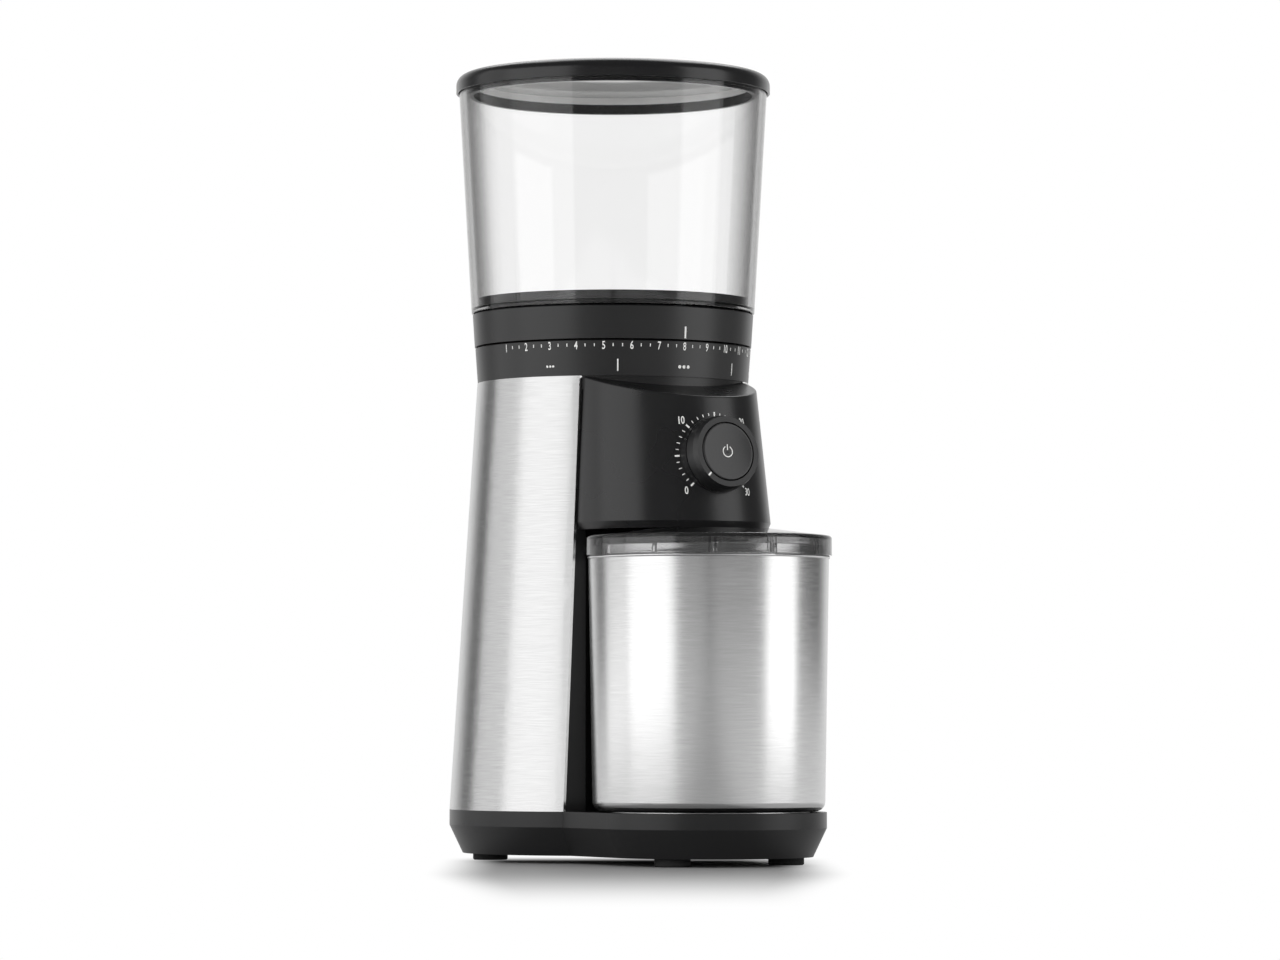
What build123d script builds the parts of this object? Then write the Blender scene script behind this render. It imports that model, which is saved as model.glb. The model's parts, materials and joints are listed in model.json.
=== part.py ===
from build123d import *
import os
from math import acos, atan, atan2, cos, degrees, pi, radians, sin, sqrt, tan

os.makedirs("parts", exist_ok=True)

# Burr coffee grinder. Millimetres, Z up, front towards -Y, floor at Z = 0.
# Reaches are distances in front of the burr axis, heights are above the floor.

# Clearances
loose = 0.3
running = 0.03
seat = 0.1
reveal = 1.5
reveal_inset = 1.0

# Base
base_height = 27.0
base_band = 8.1
base_chamfer = 7.0
base_margin = 0.9
base_wall = 3.0
base_roof = 3.0
plate_thickness = 3.0
boss_radius = 4.0
foot_radius = 9.2
foot_height = 4.2
foot_peg_radius = 3.0
rear_foot_side = 36.0
rear_foot_inset = 41.3
front_foot_side = 26.3
front_foot_ahead = 20.0
rear_screw_across = 30.0
rear_screw_inset = 25.0
middle_screw_side = 37.0
middle_screw_ahead = 16.0
front_screw_across = 18.0
front_screw_inset = 28.3
hatch_radius = 28.0
vent_length = 40.0
vent_width = 3.0
vent_pitch = 8.0
vent_count = 7
vent_behind = 28.0

# Drum body: a leaning cone, round the burr axis at its top
drum_top_radius = 71.7
drum_base_radius = 83.0
drum_base_shift = 6.3
drum_front = 51.1
steel_thickness = 1.0
core_wall = 2.5

# Cord gland in the back of the base
gland_height = 15.0
gland_bore = 3.5
gland_neck_radius = 5.5
gland_flange_radius = 7.5
gland_flange = 2.0
gland_set_in = 5.0
gland_play = 0.6

# Screws
screw_radius = 1.5
screw_length = 10.0
screw_head_radius = 2.8
screw_head = 1.8
screw_slot = 0.8
screw_slot_depth = 0.9

# Grounds cup and its lid
cup_rim_radius = 61.6
cup_taper = 2.2
cup_height = 130.8
cup_wall = 0.8
cup_edge = 5.0
cup_foot_inset = 7.4
cup_foot_width = 4.0
cup_foot = 0.4
rim_bead_radius = 0.9
cup_lid_overhang = 1.5
cup_lid_band = 9.9
cup_lid_wall = 2.0
cup_lid_rise = 3.4
cup_lid_slope = 27.0
cup_lid_round = 1.6
cup_inlet_radius = 17.0
cup_inlet_lip = 3.0
cup_plug_depth = 7.0
cup_seal_width = 1.5
cup_seal_height = 3.0
cup_lid_gap = 0.1
cup_rib_width = 1.0
cup_rib_gap = 3.2
cup_rib_step = 30.0
bay_clearance = 1.7
bay_back = 31.2

# Head over the cup: a cylinder leaning forward
head_height = 79.4
head_clearance = 0.6
head_bottom_radius = 52.8
head_taper = 4.2
head_behind_cup = 38.5
head_run = 7.8
head_wall = 3.0
head_edge_tall = 3.7
head_edge_deep = 2.0
shoulder_slope = 13.5
shoulder_round = 1.2
floor_thickness = 2.5
floor_recess = 0.6

# Deck under the scale ring
deck_thickness = 7.0
deck_gap = 0.4

# Scale ring and adjusting collar
scale_inset = 0.2
scale_flare = 1.3
scale_height = 18.5
scale_wall = 7.3
collar_gap = 0.7
collar_overhang = 0.3
collar_flare = 1.1
collar_height = 17.3
collar_wall = 3.0
collar_web = 3.0
sleeve_wall = 2.6
sleeve_gap = 2.0
edge_round = 0.6

# Hopper, funnel and lid
hopper_overhang = 0.6
hopper_flare = 6.9
hopper_height = 120.1
hopper_wall = 3.5
hopper_ledge = 3.0
hopper_ledge_width = 8.4
hopper_seat_gap = 0.4
funnel_rim = 4.5
funnel_rim_width = 3.0
funnel_wall = 3.0
spigot_depth = 13.0
throat_radius = 27.0
throat_length = 8.0
throat_gap = 4.0
lid_overhang = 1.4
lid_rim_drop = 3.0
lid_rim_height = 9.2
lid_dome_rise = 2.6
lid_edge = 5.6
lid_thickness = 5.0
lid_plug_depth = 5.0
lid_plug_wall = 2.5
seal_width = 1.2
seal_height = 3.5

# Burrs
fine_height = 10.0
crush_height = 22.0
cone_radius = 20.0
cone_waist = 16.4
cone_tip = 9.0
burr_drop = 3.0
burr_gap = 0.9
ring_mouth_radius = 22.0
ring_height = 30.0
ring_wall = 8.7
ring_shoulder = 1.5
fine_teeth = 40
fine_depth = 1.1
fine_half_angle = 3.0
fine_skew = 8.0
crush_teeth = 7
crush_depth = 4.2
crush_half_angle = 14.0
crush_skew = 40.0
ring_crush_teeth = 8
carrier_wall = 4.0
carrier_height = 44.0
carrier_lip = 2.6
carrier_arm_width = 14.0
carrier_arm_height = 4.0
carrier_arms = 3
arm_start = 30.0
carrier_play = 1.0

# Grind chamber
chamber_wall = 2.4
chamber_floor = 4.0
chamber_ledge = 1.8
chamber_flange_width = 9.5
chamber_flange = 4.0
chamber_screw_inset = 4.5
chamber_screws_count = 4
chamber_screw_length = 6.0
screw_start = 45.0
spout_length = 2.5
port_width = 26.0
port_height = 14.0
port_sill = 1.0
impeller_side_gap = 2.0
impeller_floor_gap = 2.0
impeller_hub = 14.0
impeller_disc = 2.0
impeller_height = 11.0
impeller_blades = 6
impeller_blade_width = 3.0
impeller_hub_radius = 9.0

# Chute
chute_wall = 1.6
chute_behind_cup = 12.0
chute_length = 15.0
chute_lip = 2.9
chute_knee = 12.0
chute_nose_rise = 4.0

# Drive
shaft_radius = 4.0
shaft_end_gap = 0.5
shaft_tip = 3.0
nut_radius = 7.0
nut_height = 5.0
bearing_radius = 7.5
bearing_height = 6.0
bearing_drop = 3.0
gear_module = 0.8
pressure_angle = 25.0
addendum = 0.85
dedendum = 1.25
backlash = 0.16
motor_pinion_teeth = 12
idler_wheel_teeth = 54
idler_pinion_teeth = 14
burr_gear_teeth = 56
motor_behind = 40.0
gearbox_boss = 10.0
gearbox_floor = 4.0
gearbox_lid = 4.0
gearbox_wall = 2.5
gearbox_gear_room = 2.0
stage_gap = 3.0
stage_one_width = 8.0
stage_two_width = 12.0
idler_pin_radius = 3.0
gearbox_screw_length = 12.0
rear_post_across = 34.0
rear_post_behind = 46.0
front_post_across = 26.0
front_post_ahead = 11.0

# Motor
motor_radius = 28.0
motor_length = 74.0
motor_wall = 1.6
bell_thickness = 5.0
bell_boss_radius = 8.0
bell_boss = 6.0
motor_shaft_radius = 2.5
armature_radius = 18.0
armature_lift = 14.0
armature_length = 44.0
armature_slots = 9
armature_slot_width = 3.0
armature_slot_depth = 6.0
magnet_gap = 0.8
magnet_overlap = 2.0
magnet_arc = 130.0
motor_nose_radius = 7.0
motor_nose = 3.0
motor_screw_circle = 15.0
motor_screw_count = 2

# Timer knob and start button
knob_rise = 37.2
knob_sink = 0.6
pedestal_margin = 0.3
pedestal_proud = 2.0
pedestal_root = 6.0
knob_base_radius = 19.6
knob_side_draft = 0.4
knob_side = 5.4
knob_bevel = 3.0
knob_bevel_draft = 1.0
knob_lift = 0.5
knob_web = 2.4
button_radius = 14.8
button_gap = 0.6
button_thickness = 3.4
button_proud = 0.4
button_travel = 2.0
button_dish = 0.8
button_rim = 1.0
sleeve_outer = 5.0
sleeve_bore = 3.2
stem_radius = 2.9
encoder_front = 9.0
encoder_radius = 11.0
encoder_length = 7.4
sleeve_reach = 12.0
switch_size = 6.0
switch_height = 1.6
switch_gap = 0.2
board_width = 44.0
board_thickness = 1.6
board_below = 11.0
board_head_room = 8.0
board_post_inset = 4.5
board_post_root = 4.5
board_screw_length = 6.0

# Other electrics
power_board_width = 60.0
power_board_length = 44.0
power_board_behind = 34.0
power_board_lift = 6.0
capacitor_radius = 8.0
capacitor_height = 22.0
capacitor_across = 12.0
coil_size = 20.0
coil_height = 16.0
coil_across = 10.0
hopper_switch_length = 16.0
hopper_switch_width = 6.5
hopper_switch_height = 9.0
plunger_radius = 1.4

# Plan places worked out from the sizes above
cup_base_radius = cup_rim_radius - cup_taper
cup_foot_radius = cup_base_radius - cup_foot_inset
cup_lid_radius = cup_rim_radius + cup_lid_overhang
cup_plug_radius = cup_rim_radius - cup_wall / 2 - rim_bead_radius - loose - cup_seal_width
bay_radius = cup_lid_radius + bay_clearance
cup_reach = bay_back + bay_radius
base_half_width = cup_base_radius + base_margin
rear_reach = drum_base_shift + drum_base_radius
front_reach = cup_reach + cup_lid_radius
axis_y = (front_reach - rear_reach) / 2
cup_y = axis_y - cup_reach
head_top_radius = head_bottom_radius - head_taper
head_bottom_reach = cup_reach - head_behind_cup
head_top_reach = head_bottom_reach - head_run
plate_inset = base_chamfer + base_wall
gland_neck = plate_inset - gland_set_in - gland_flange + gland_play
core_inset = steel_thickness + seat
deck_radius = drum_top_radius - steel_thickness - deck_gap
scale_bottom_radius = drum_top_radius - scale_inset
scale_top_radius = scale_bottom_radius + scale_flare
scale_bore = scale_bottom_radius - scale_wall
collar_bottom_radius = scale_top_radius + collar_overhang
collar_top_radius = collar_bottom_radius + collar_flare
sleeve_radius = scale_bore - seat
sleeve_inner = sleeve_radius - sleeve_wall
spigot_radius = sleeve_inner - loose
switch_circle = sleeve_radius - sleeve_wall / 2
hopper_bottom_radius = collar_top_radius + hopper_overhang
hopper_top_radius = hopper_bottom_radius + hopper_flare
hopper_ledge_bore = hopper_bottom_radius - hopper_ledge_width
lid_radius = hopper_top_radius + lid_overhang
ring_radius = ring_mouth_radius + ring_wall
carrier_bore = ring_radius + seat
carrier_radius = carrier_bore + carrier_wall
chamber_bore = carrier_radius + loose
chamber_radius = chamber_bore + chamber_wall
chamber_step_radius = carrier_radius - chamber_ledge
chamber_flange_radius = chamber_radius + chamber_flange_width
chamber_screw_circle = chamber_flange_radius - chamber_screw_inset
spout_reach = chamber_radius + spout_length
impeller_radius = chamber_step_radius - impeller_side_gap
chute_width = port_width + 2 * chute_wall
chute_back_reach = cup_reach - chute_behind_cup
chute_front_reach = chute_back_reach + chute_length
chute_depth = chute_length + 2 * chute_wall
pedestal_radius = knob_base_radius + pedestal_margin
knob_shoulder_radius = knob_base_radius - knob_side_draft
knob_depth = knob_side + knob_bevel

# Heights worked out from the floor up
base_band_bottom = base_height - base_band
plate_top = foot_height + plate_thickness
cup_bottom = base_height + cup_foot
cup_rim_height = base_height + cup_height
cup_band_bottom = cup_rim_height + cup_lid_gap
cup_band_top = cup_band_bottom + cup_lid_band
cup_lid_top = cup_band_top + cup_lid_rise
head_bottom = cup_lid_top + head_clearance
floor_bottom = head_bottom + floor_recess
drum_top = head_bottom + head_height
deck_bottom = drum_top - deck_thickness
scale_top = drum_top + scale_height
collar_bottom = scale_top + collar_gap
collar_top = collar_bottom + collar_height
hopper_bottom = collar_top + hopper_seat_gap
ledge_top = hopper_bottom + hopper_ledge
hopper_top = hopper_bottom + hopper_height
lid_rim_bottom = hopper_top - lid_rim_drop
lid_rim_top = lid_rim_bottom + lid_rim_height
lid_dome = lid_rim_top + lid_dome_rise
lid_underside = lid_dome - lid_thickness
lid_plug_bottom = hopper_top - lid_plug_depth

# Heights worked out from the deck down
sleeve_bottom = drum_top + sleeve_gap
carrier_top = sleeve_bottom + carrier_arm_height
carrier_bottom = carrier_top - carrier_height
throat_bottom = carrier_top + throat_gap
throat_top = throat_bottom + throat_length
burr_bottom = carrier_bottom - burr_drop
waist_height = burr_bottom + fine_height
tip_height = waist_height + crush_height
ring_bottom = carrier_bottom - ring_shoulder
ring_top = ring_bottom + ring_height
chamber_step = carrier_bottom - 2 * carrier_play
impeller_bottom = burr_bottom - impeller_hub
chamber_floor_top = impeller_bottom - impeller_floor_gap
chamber_floor_bottom = chamber_floor_top - chamber_floor
port_bottom = chamber_floor_top + port_sill
port_top = port_bottom + port_height
chute_knee_bottom = floor_bottom + floor_thickness + chute_lip
chute_knee_top = chute_knee_bottom + chute_knee
chute_nose = chute_knee_bottom + chute_nose_rise
gearbox_lid_bottom = chamber_floor_bottom - gearbox_boss
stage_two_bottom = gearbox_lid_bottom - stage_gap - stage_two_width
stage_one_bottom = stage_two_bottom - stage_gap - stage_one_width
gearbox_floor_bottom = stage_one_bottom - gearbox_gear_room - gearbox_floor
shaft_bottom = gearbox_floor_bottom - bearing_drop + shaft_end_gap
shaft_top = tip_height + nut_height + shaft_tip
motor_bottom = gearbox_floor_bottom - motor_length
armature_bottom = motor_bottom + armature_lift
magnet_bottom = armature_bottom - magnet_overlap
magnet_height = armature_length + 2 * magnet_overlap

# Knob axis, square to the leaning front of the head
front_run = head_bottom_reach + head_bottom_radius - head_top_reach - head_top_radius
lean = atan(front_run / head_height)
knob_height = head_bottom + knob_rise
knob_reach = head_bottom_reach + head_bottom_radius - front_run * knob_rise / head_height - knob_sink
knob_back = pedestal_proud + knob_lift
board_front = encoder_front + encoder_length
board_above = deck_bottom - knob_height - board_head_room
button_back = knob_back + knob_depth + button_proud - button_thickness
stem_reach = board_front - switch_height - switch_gap - button_travel
dish_radius = ((button_radius - button_rim) ** 2 + button_dish**2) / (2 * button_dish)

# Gear places
idler_motor_distance = gear_module * (motor_pinion_teeth + idler_wheel_teeth) / 2
idler_burr_distance = gear_module * (idler_pinion_teeth + burr_gear_teeth) / 2
idler_behind = (idler_burr_distance**2 - idler_motor_distance**2 + motor_behind**2) / (2 * motor_behind)
idler_across = sqrt(idler_burr_distance**2 - idler_behind**2)
idler_y = axis_y + idler_behind
motor_y = axis_y + motor_behind

# Points of the screws, feet and posts
base_screw_points = [
    (side * across, axis_y + behind)
    for side in (-1, 1)
    for across, behind in (
        (rear_screw_across, rear_reach - rear_screw_inset),
        (drum_base_radius - middle_screw_side, -middle_screw_ahead),
        (front_screw_across, front_screw_inset - cup_reach - base_half_width),
    )
]
foot_points = [
    (side * across, axis_y + behind)
    for side in (-1, 1)
    for across, behind in (
        (drum_base_radius - rear_foot_side, rear_reach - rear_foot_inset),
        (base_half_width - front_foot_side, -cup_reach - front_foot_ahead),
    )
]
post_points = [
    (side * across, axis_y + behind)
    for side in (-1, 1)
    for across, behind in ((rear_post_across, rear_post_behind), (front_post_across, -front_post_ahead))
]
board_post_points = [
    (side * (board_width / 2 - board_post_inset), above)
    for side in (-1, 1)
    for above in (board_above - board_post_inset, board_post_inset - board_below)
]

# Gears turned so that a tooth of each small gear stands in a gap of its large gear
motor_to_idler = degrees(atan2(idler_behind - motor_behind, idler_across))
idler_to_burr = degrees(atan2(-idler_behind, -idler_across))
motor_pinion_turn = motor_to_idler
idler_wheel_turn = motor_to_idler + 180 - 180 / idler_wheel_teeth
idler_pinion_turn = idler_to_burr
burr_gear_turn = idler_to_burr + 180 - 180 / burr_gear_teeth

# Planes and axes
burr_plane = Plane((0, axis_y, 0))
burr_axis = Axis((0, axis_y, 0), (0, 0, 1))
burr_section = Plane((0, axis_y, 0), x_dir=(1, 0, 0), z_dir=(0, -1, 0))
cup_axis = Axis((0, cup_y, 0), (0, 0, 1))
cup_section = Plane((0, cup_y, 0), x_dir=(1, 0, 0), z_dir=(0, -1, 0))
side_section = Plane((0, axis_y, 0), x_dir=(0, -1, 0), z_dir=(-1, 0, 0))
front_section = Plane((0, axis_y - drum_front, 0), x_dir=(1, 0, 0), z_dir=(0, -1, 0))
knob_plane = Plane((0, axis_y - knob_reach, knob_height), x_dir=(1, 0, 0), z_dir=(0, -cos(lean), sin(lean)))


def rim_edges(piece, height):
    """Edges of a piece whose middle is at one height."""
    return piece.edges().filter_by_position(Axis.Z, height - running, height + running)


def burr_level(height):
    """Level plane on the burr axis."""
    return Plane((0, axis_y, height))


def cup_level(height):
    """Level plane on the cup axis."""
    return Plane((0, cup_y, height))


def motor_level(height):
    """Level plane on the motor axis."""
    return Plane((0, motor_y, height))


def idler_level(height):
    """Level plane on the idler axis."""
    return Plane((idler_across, idler_y, height))


def between(height, low, low_value, high, high_value):
    """Value at a height on the straight line between two heights."""
    return low_value + (high_value - low_value) * (height - low) / (high - low)


def drum_solid(inset, low, high):
    """Length of the drum's cone, set in from its outer face."""
    with BuildPart() as solid:
        for height in (low, high):
            radius = between(height, base_height, drum_base_radius, drum_top, drum_top_radius)
            shift = between(height, base_height, drum_base_shift, drum_top, 0)
            with BuildSketch(Plane((0, axis_y + shift, height))):
                Circle(radius - inset)
        loft(ruled=True)
    return solid.part


def core_solid(inset):
    """The body inside the steel, with the bay for the cup, set in from its outer faces."""
    with BuildPart() as solid:
        add(drum_solid(core_inset + inset, base_height, deck_bottom))
        split(bisect_by=Plane((0, axis_y - drum_front + inset, 0), z_dir=(0, 1, 0)), keep=Keep.TOP)
        with BuildSketch(cup_level(base_height)):
            Circle(bay_radius + inset)
        extrude(amount=head_bottom - base_height + inset, mode=Mode.SUBTRACT)
    return solid.part


def head_solid(inset, low, high):
    """Length of the head's leaning cylinder in front of the drum, set in from its outer face."""
    with BuildPart() as solid:
        for height in (low, high):
            radius = between(height, head_bottom, head_bottom_radius, drum_top, head_top_radius)
            reach = between(height, head_bottom, head_bottom_reach, drum_top, head_top_reach)
            with BuildSketch(Plane((0, axis_y - reach, height))):
                Circle(radius - inset)
        loft(ruled=True)
        split(bisect_by=Plane((0, axis_y - drum_front - reveal, 0), z_dir=(0, -1, 0)), keep=Keep.TOP)
    return solid.part


def head_half_width(height):
    """Half the head's width where it meets the flat front of the drum."""
    radius = between(height, head_bottom, head_bottom_radius, drum_top, head_top_radius)
    reach = between(height, head_bottom, head_bottom_reach, drum_top, head_top_reach)
    return sqrt(radius**2 - (reach - drum_front) ** 2)


def shoulder_plane(drop):
    """Sloping top of the head, lowered by a wall."""
    slope = radians(shoulder_slope)
    return Plane((0, axis_y - drum_front, drum_top - drop), z_dir=(0, -sin(slope), cos(slope)))


def base_outline(inset):
    """Plan of the base: the drum's circle with a round-ended tongue under the cup."""
    with BuildSketch() as outline:
        with Locations((0, axis_y + drum_base_shift)):
            Circle(drum_base_radius - inset)
        with Locations((0, cup_y)):
            Circle(base_half_width - inset)
        with Locations((0, cup_y)):
            Rectangle(2 * (base_half_width - inset), cup_reach, align=(Align.CENTER, Align.MIN))
    return outline.sketch


def gland_plane(depth):
    """Upright plane at a depth into the back of the base, facing backwards."""
    return Plane((0, axis_y + rear_reach - depth, gland_height), z_dir=(0, 1, 0))


def head_block(inset):
    """The head under its sloping top, set in from its outer faces."""
    with BuildPart() as solid:
        add(head_solid(inset, head_bottom, drum_top))
        split(bisect_by=shoulder_plane(inset), keep=Keep.BOTTOM)
    return solid.part


def chute_profile(outset):
    """Side profile of the chute's way, as reach and height."""
    with BuildSketch() as profile:
        with BuildLine():
            Polyline(
                (spout_reach, port_bottom - outset),
                (chute_back_reach - outset, chute_knee_bottom - outset),
                (chute_back_reach - outset, floor_bottom),
                (chute_front_reach + outset, floor_bottom),
                (chute_front_reach + outset, chute_nose + outset),
                (chute_back_reach, chute_knee_top + outset),
                (spout_reach, port_top + outset),
                close=True,
            )
        make_face()
    return profile.sketch


def gearbox_outline(outset):
    """Plan of the gearbox round its two large gears and its posts."""
    with BuildSketch() as outline:
        with Locations((0, axis_y)):
            Circle(gear_module * (burr_gear_teeth / 2 + addendum) + gearbox_gear_room + outset)
        with Locations((idler_across, idler_y)):
            Circle(gear_module * (idler_wheel_teeth / 2 + addendum) + gearbox_gear_room + outset)
        with Locations(*post_points):
            Circle(boss_radius + outset)
        make_hull()
    return outline.sketch


def screw(length):
    """Pan-head screw hanging from its seat at the origin."""
    with BuildPart() as fastener:
        with BuildSketch():
            Circle(screw_head_radius)
        extrude(amount=screw_head)
        with BuildSketch():
            Circle(screw_radius)
        extrude(amount=-length)
        with BuildSketch(Plane.XY.offset(screw_head)):
            Rectangle(screw_head_radius, screw_slot)
            Rectangle(screw_slot, screw_head_radius)
        extrude(amount=-screw_slot_depth, mode=Mode.SUBTRACT)
    return fastener.part


def gear_face(teeth):
    """Spur gear outline with one tooth centred on local X."""
    pitch_radius = gear_module * teeth / 2
    base_radius = pitch_radius * cos(radians(pressure_angle))
    tip_radius = pitch_radius + addendum * gear_module
    root_radius = pitch_radius - dedendum * gear_module
    pitch_half = pi / (2 * teeth) - backlash / (4 * pitch_radius)
    pitch_roll = tan(radians(pressure_angle)) - radians(pressure_angle)

    def flank(radius, side):
        roll = acos(min(1.0, base_radius / radius))
        half = pitch_half + pitch_roll - (tan(roll) - roll)
        return (radius * cos(half), side * radius * sin(half))

    start_radius = max(base_radius, root_radius)
    foot_half = pitch_half + pitch_roll
    with BuildSketch() as face:
        Circle(root_radius)
        with BuildSketch(mode=Mode.PRIVATE) as tooth:
            with BuildLine():
                middle_radius = (start_radius + tip_radius) / 2
                ThreePointArc(flank(start_radius, 1), flank(middle_radius, 1), flank(tip_radius, 1))
                ThreePointArc(flank(tip_radius, 1), (tip_radius, 0), flank(tip_radius, -1))
                ThreePointArc(flank(tip_radius, -1), flank(middle_radius, -1), flank(start_radius, -1))
                inner = root_radius - gear_module
                Polyline(
                    flank(start_radius, -1),
                    (inner * cos(foot_half), -inner * sin(foot_half)),
                    (inner * cos(foot_half), inner * sin(foot_half)),
                    flank(start_radius, 1),
                )
            make_face()
        with PolarLocations(0, teeth):
            add(tooth.sketch)
    return face.sketch


def groove(low, high, low_radius, high_radius, depth, half_angle, skew):
    """V-shaped cutter along a cone face, its far end turned by the skew; a bore takes a negative depth."""
    with BuildPart() as cutter:
        for height, radius, turn in ((low, low_radius, 0), (high, high_radius, skew)):
            reach = 2 * radius * tan(radians(half_angle))
            with BuildSketch(Plane((0, 0, height)).rotated((0, 0, turn))):
                with BuildLine():
                    mouth = radius + depth
                    Polyline((radius - depth, 0), (mouth, reach), (mouth, -reach), close=True)
                make_face()
        loft(ruled=True)
    return cutter.part


# Steel wrap round the sides and back
with BuildPart() as steel_wrap:
    add(drum_solid(0, base_height, drum_top))
    add(drum_solid(steel_thickness, base_height, drum_top), mode=Mode.SUBTRACT)
    split(bisect_by=Plane((0, axis_y - drum_front, 0), z_dir=(0, 1, 0)), keep=Keep.TOP)

# Core housing, with the wall behind the cup, the seat of the head and a window for the chute
with BuildPart() as core_housing:
    add(core_solid(0))
    add(core_solid(core_wall), mode=Mode.SUBTRACT)
    seat_low = head_half_width(head_bottom) - reveal_inset
    seat_high = head_half_width(deck_bottom) - reveal_inset
    with BuildSketch(front_section):
        with BuildLine():
            Polyline(
                (-seat_low, head_bottom),
                (seat_low, head_bottom),
                (seat_high, deck_bottom),
                (-seat_high, deck_bottom),
                close=True,
            )
        make_face()
    extrude(amount=reveal)
    window_low = head_bottom + core_wall + loose
    with BuildSketch(front_section.offset(reveal)):
        with Locations((0, window_low)):
            Rectangle(2 * chamber_step_radius, deck_bottom - window_low, align=(Align.CENTER, Align.MIN))
    extrude(amount=-core_wall - reveal - seat, mode=Mode.SUBTRACT)

# Base tray, hollow from below, with its screw posts and the seat of the cord gland
with BuildPart() as base_tray:
    with BuildSketch(Plane.XY.offset(foot_height)):
        add(base_outline(0))
    extrude(amount=base_height - foot_height)
    underside = base_tray.faces().sort_by(Axis.Z)[0]
    chamfer_rise = base_band_bottom - foot_height
    chamfer(underside.edges(), length=base_chamfer, length2=chamfer_rise, reference=underside)
    with BuildSketch(Plane.XY.offset(foot_height)):
        add(base_outline(plate_inset))
    extrude(amount=base_height - base_roof - foot_height, mode=Mode.SUBTRACT)
    with BuildSketch(Plane.XY.offset(plate_top)):
        with Locations(*base_screw_points):
            Circle(boss_radius)
    extrude(amount=base_height - base_roof - plate_top)
    with BuildSketch(Plane.XY.offset(plate_top)):
        with Locations(*base_screw_points):
            Circle(screw_radius + running)
    extrude(amount=screw_length, mode=Mode.SUBTRACT)
    with BuildSketch(Plane.XY.offset(base_height)):
        with Locations((0, motor_y)):
            Circle(hatch_radius)
    extrude(amount=-base_roof, mode=Mode.SUBTRACT)
    with BuildSketch(gland_plane(0)):
        Circle(gland_flange_radius + seat)
    extrude(amount=-gland_set_in - gland_flange, mode=Mode.SUBTRACT)
    with BuildSketch(gland_plane(0)):
        Circle(gland_neck_radius + seat)
    extrude(amount=-plate_inset - gland_flange, mode=Mode.SUBTRACT)

# Bottom plate with vents, peg holes and sunk screw holes
with BuildPart() as bottom_plate:
    with BuildSketch(Plane.XY.offset(foot_height)):
        add(base_outline(plate_inset + loose))
        with Locations(*foot_points):
            Circle(foot_peg_radius + seat, mode=Mode.SUBTRACT)
        with Locations((0, axis_y + vent_behind)):
            with GridLocations(0, vent_pitch, 1, vent_count):
                SlotOverall(vent_length, vent_width, mode=Mode.SUBTRACT)
        with Locations(*base_screw_points):
            Circle(screw_radius + seat, mode=Mode.SUBTRACT)
    extrude(amount=plate_thickness)
    with BuildSketch(Plane.XY.offset(foot_height)):
        with Locations(*base_screw_points):
            Circle(screw_head_radius + loose)
    extrude(amount=screw_head, mode=Mode.SUBTRACT)

# Base screws, heads down
with BuildPart() as base_screws:
    with Locations(*[(x, y, foot_height + screw_head) for x, y in base_screw_points]):
        add(screw(screw_length), rotation=(180, 0, 0))

# Rubber feet, pegged into the plate
with BuildPart() as feet:
    with BuildSketch():
        with Locations(*foot_points):
            Circle(foot_radius)
    extrude(amount=foot_height)
    chamfer(feet.edges().group_by(Axis.Z)[0], edge_round)
    with BuildSketch(Plane.XY.offset(foot_height)):
        with Locations(*foot_points):
            Circle(foot_peg_radius)
    extrude(amount=plate_thickness)

# Cord gland
with BuildPart() as cord_gland:
    with BuildSketch(gland_plane(gland_set_in + gland_flange)):
        Circle(gland_flange_radius)
    extrude(amount=gland_flange)
    with BuildSketch(gland_plane(gland_set_in + gland_flange)):
        Circle(gland_neck_radius)
    extrude(amount=-gland_neck)
    with BuildSketch(gland_plane(gland_set_in + gland_flange + gland_neck)):
        Circle(gland_flange_radius)
    extrude(amount=-gland_flange)
    with BuildSketch(gland_plane(0)):
        Circle(gland_bore)
    extrude(amount=-gland_set_in - gland_neck - 2 * gland_flange, mode=Mode.SUBTRACT)

# Head housing over the cup, open below and behind
with BuildPart() as head_housing:
    add(head_block(0))
    underside = head_housing.faces().sort_by(Axis.Z)[0]
    front_edge = underside.edges().sort_by(Axis.Y)[0]
    chamfer(front_edge, length=head_edge_deep, length2=head_edge_tall, reference=underside)
    shoulder = head_housing.faces().sort_by(Axis.Z)[-1]
    fillet(shoulder.edges().sort_by(Axis.Y)[0], shoulder_round)
    with BuildSketch(knob_plane.offset(pedestal_proud)):
        Circle(pedestal_radius)
    extrude(amount=-pedestal_proud - pedestal_root)
    add(head_block(head_wall), mode=Mode.SUBTRACT)
    with BuildSketch(burr_level(drum_top)):
        Circle(deck_radius + loose)
    extrude(amount=-deck_thickness - loose, mode=Mode.SUBTRACT)
    with BuildSketch(knob_plane.offset(pedestal_proud)):
        Circle(sleeve_outer + loose)
    extrude(amount=-pedestal_proud - pedestal_root - head_wall, mode=Mode.SUBTRACT)
    with BuildSketch(knob_plane.offset(-board_front)):
        with Locations(*board_post_points):
            Circle(boss_radius)
    extrude(amount=board_front - board_post_root)
    with BuildSketch(knob_plane.offset(-board_front)):
        with Locations(*board_post_points):
            Circle(screw_radius + running)
    extrude(amount=board_screw_length, mode=Mode.SUBTRACT)

# Head floor, with the hole for the chute
with BuildPart() as head_floor:
    add(head_solid(head_wall + seat, floor_bottom, floor_bottom + floor_thickness))
    with BuildSketch(burr_level(floor_bottom)):
        with Locations((0, -(chute_back_reach + chute_front_reach) / 2)):
            Rectangle(chute_width + 2 * loose, chute_depth + 2 * loose)
    extrude(amount=floor_thickness, mode=Mode.SUBTRACT)

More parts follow.
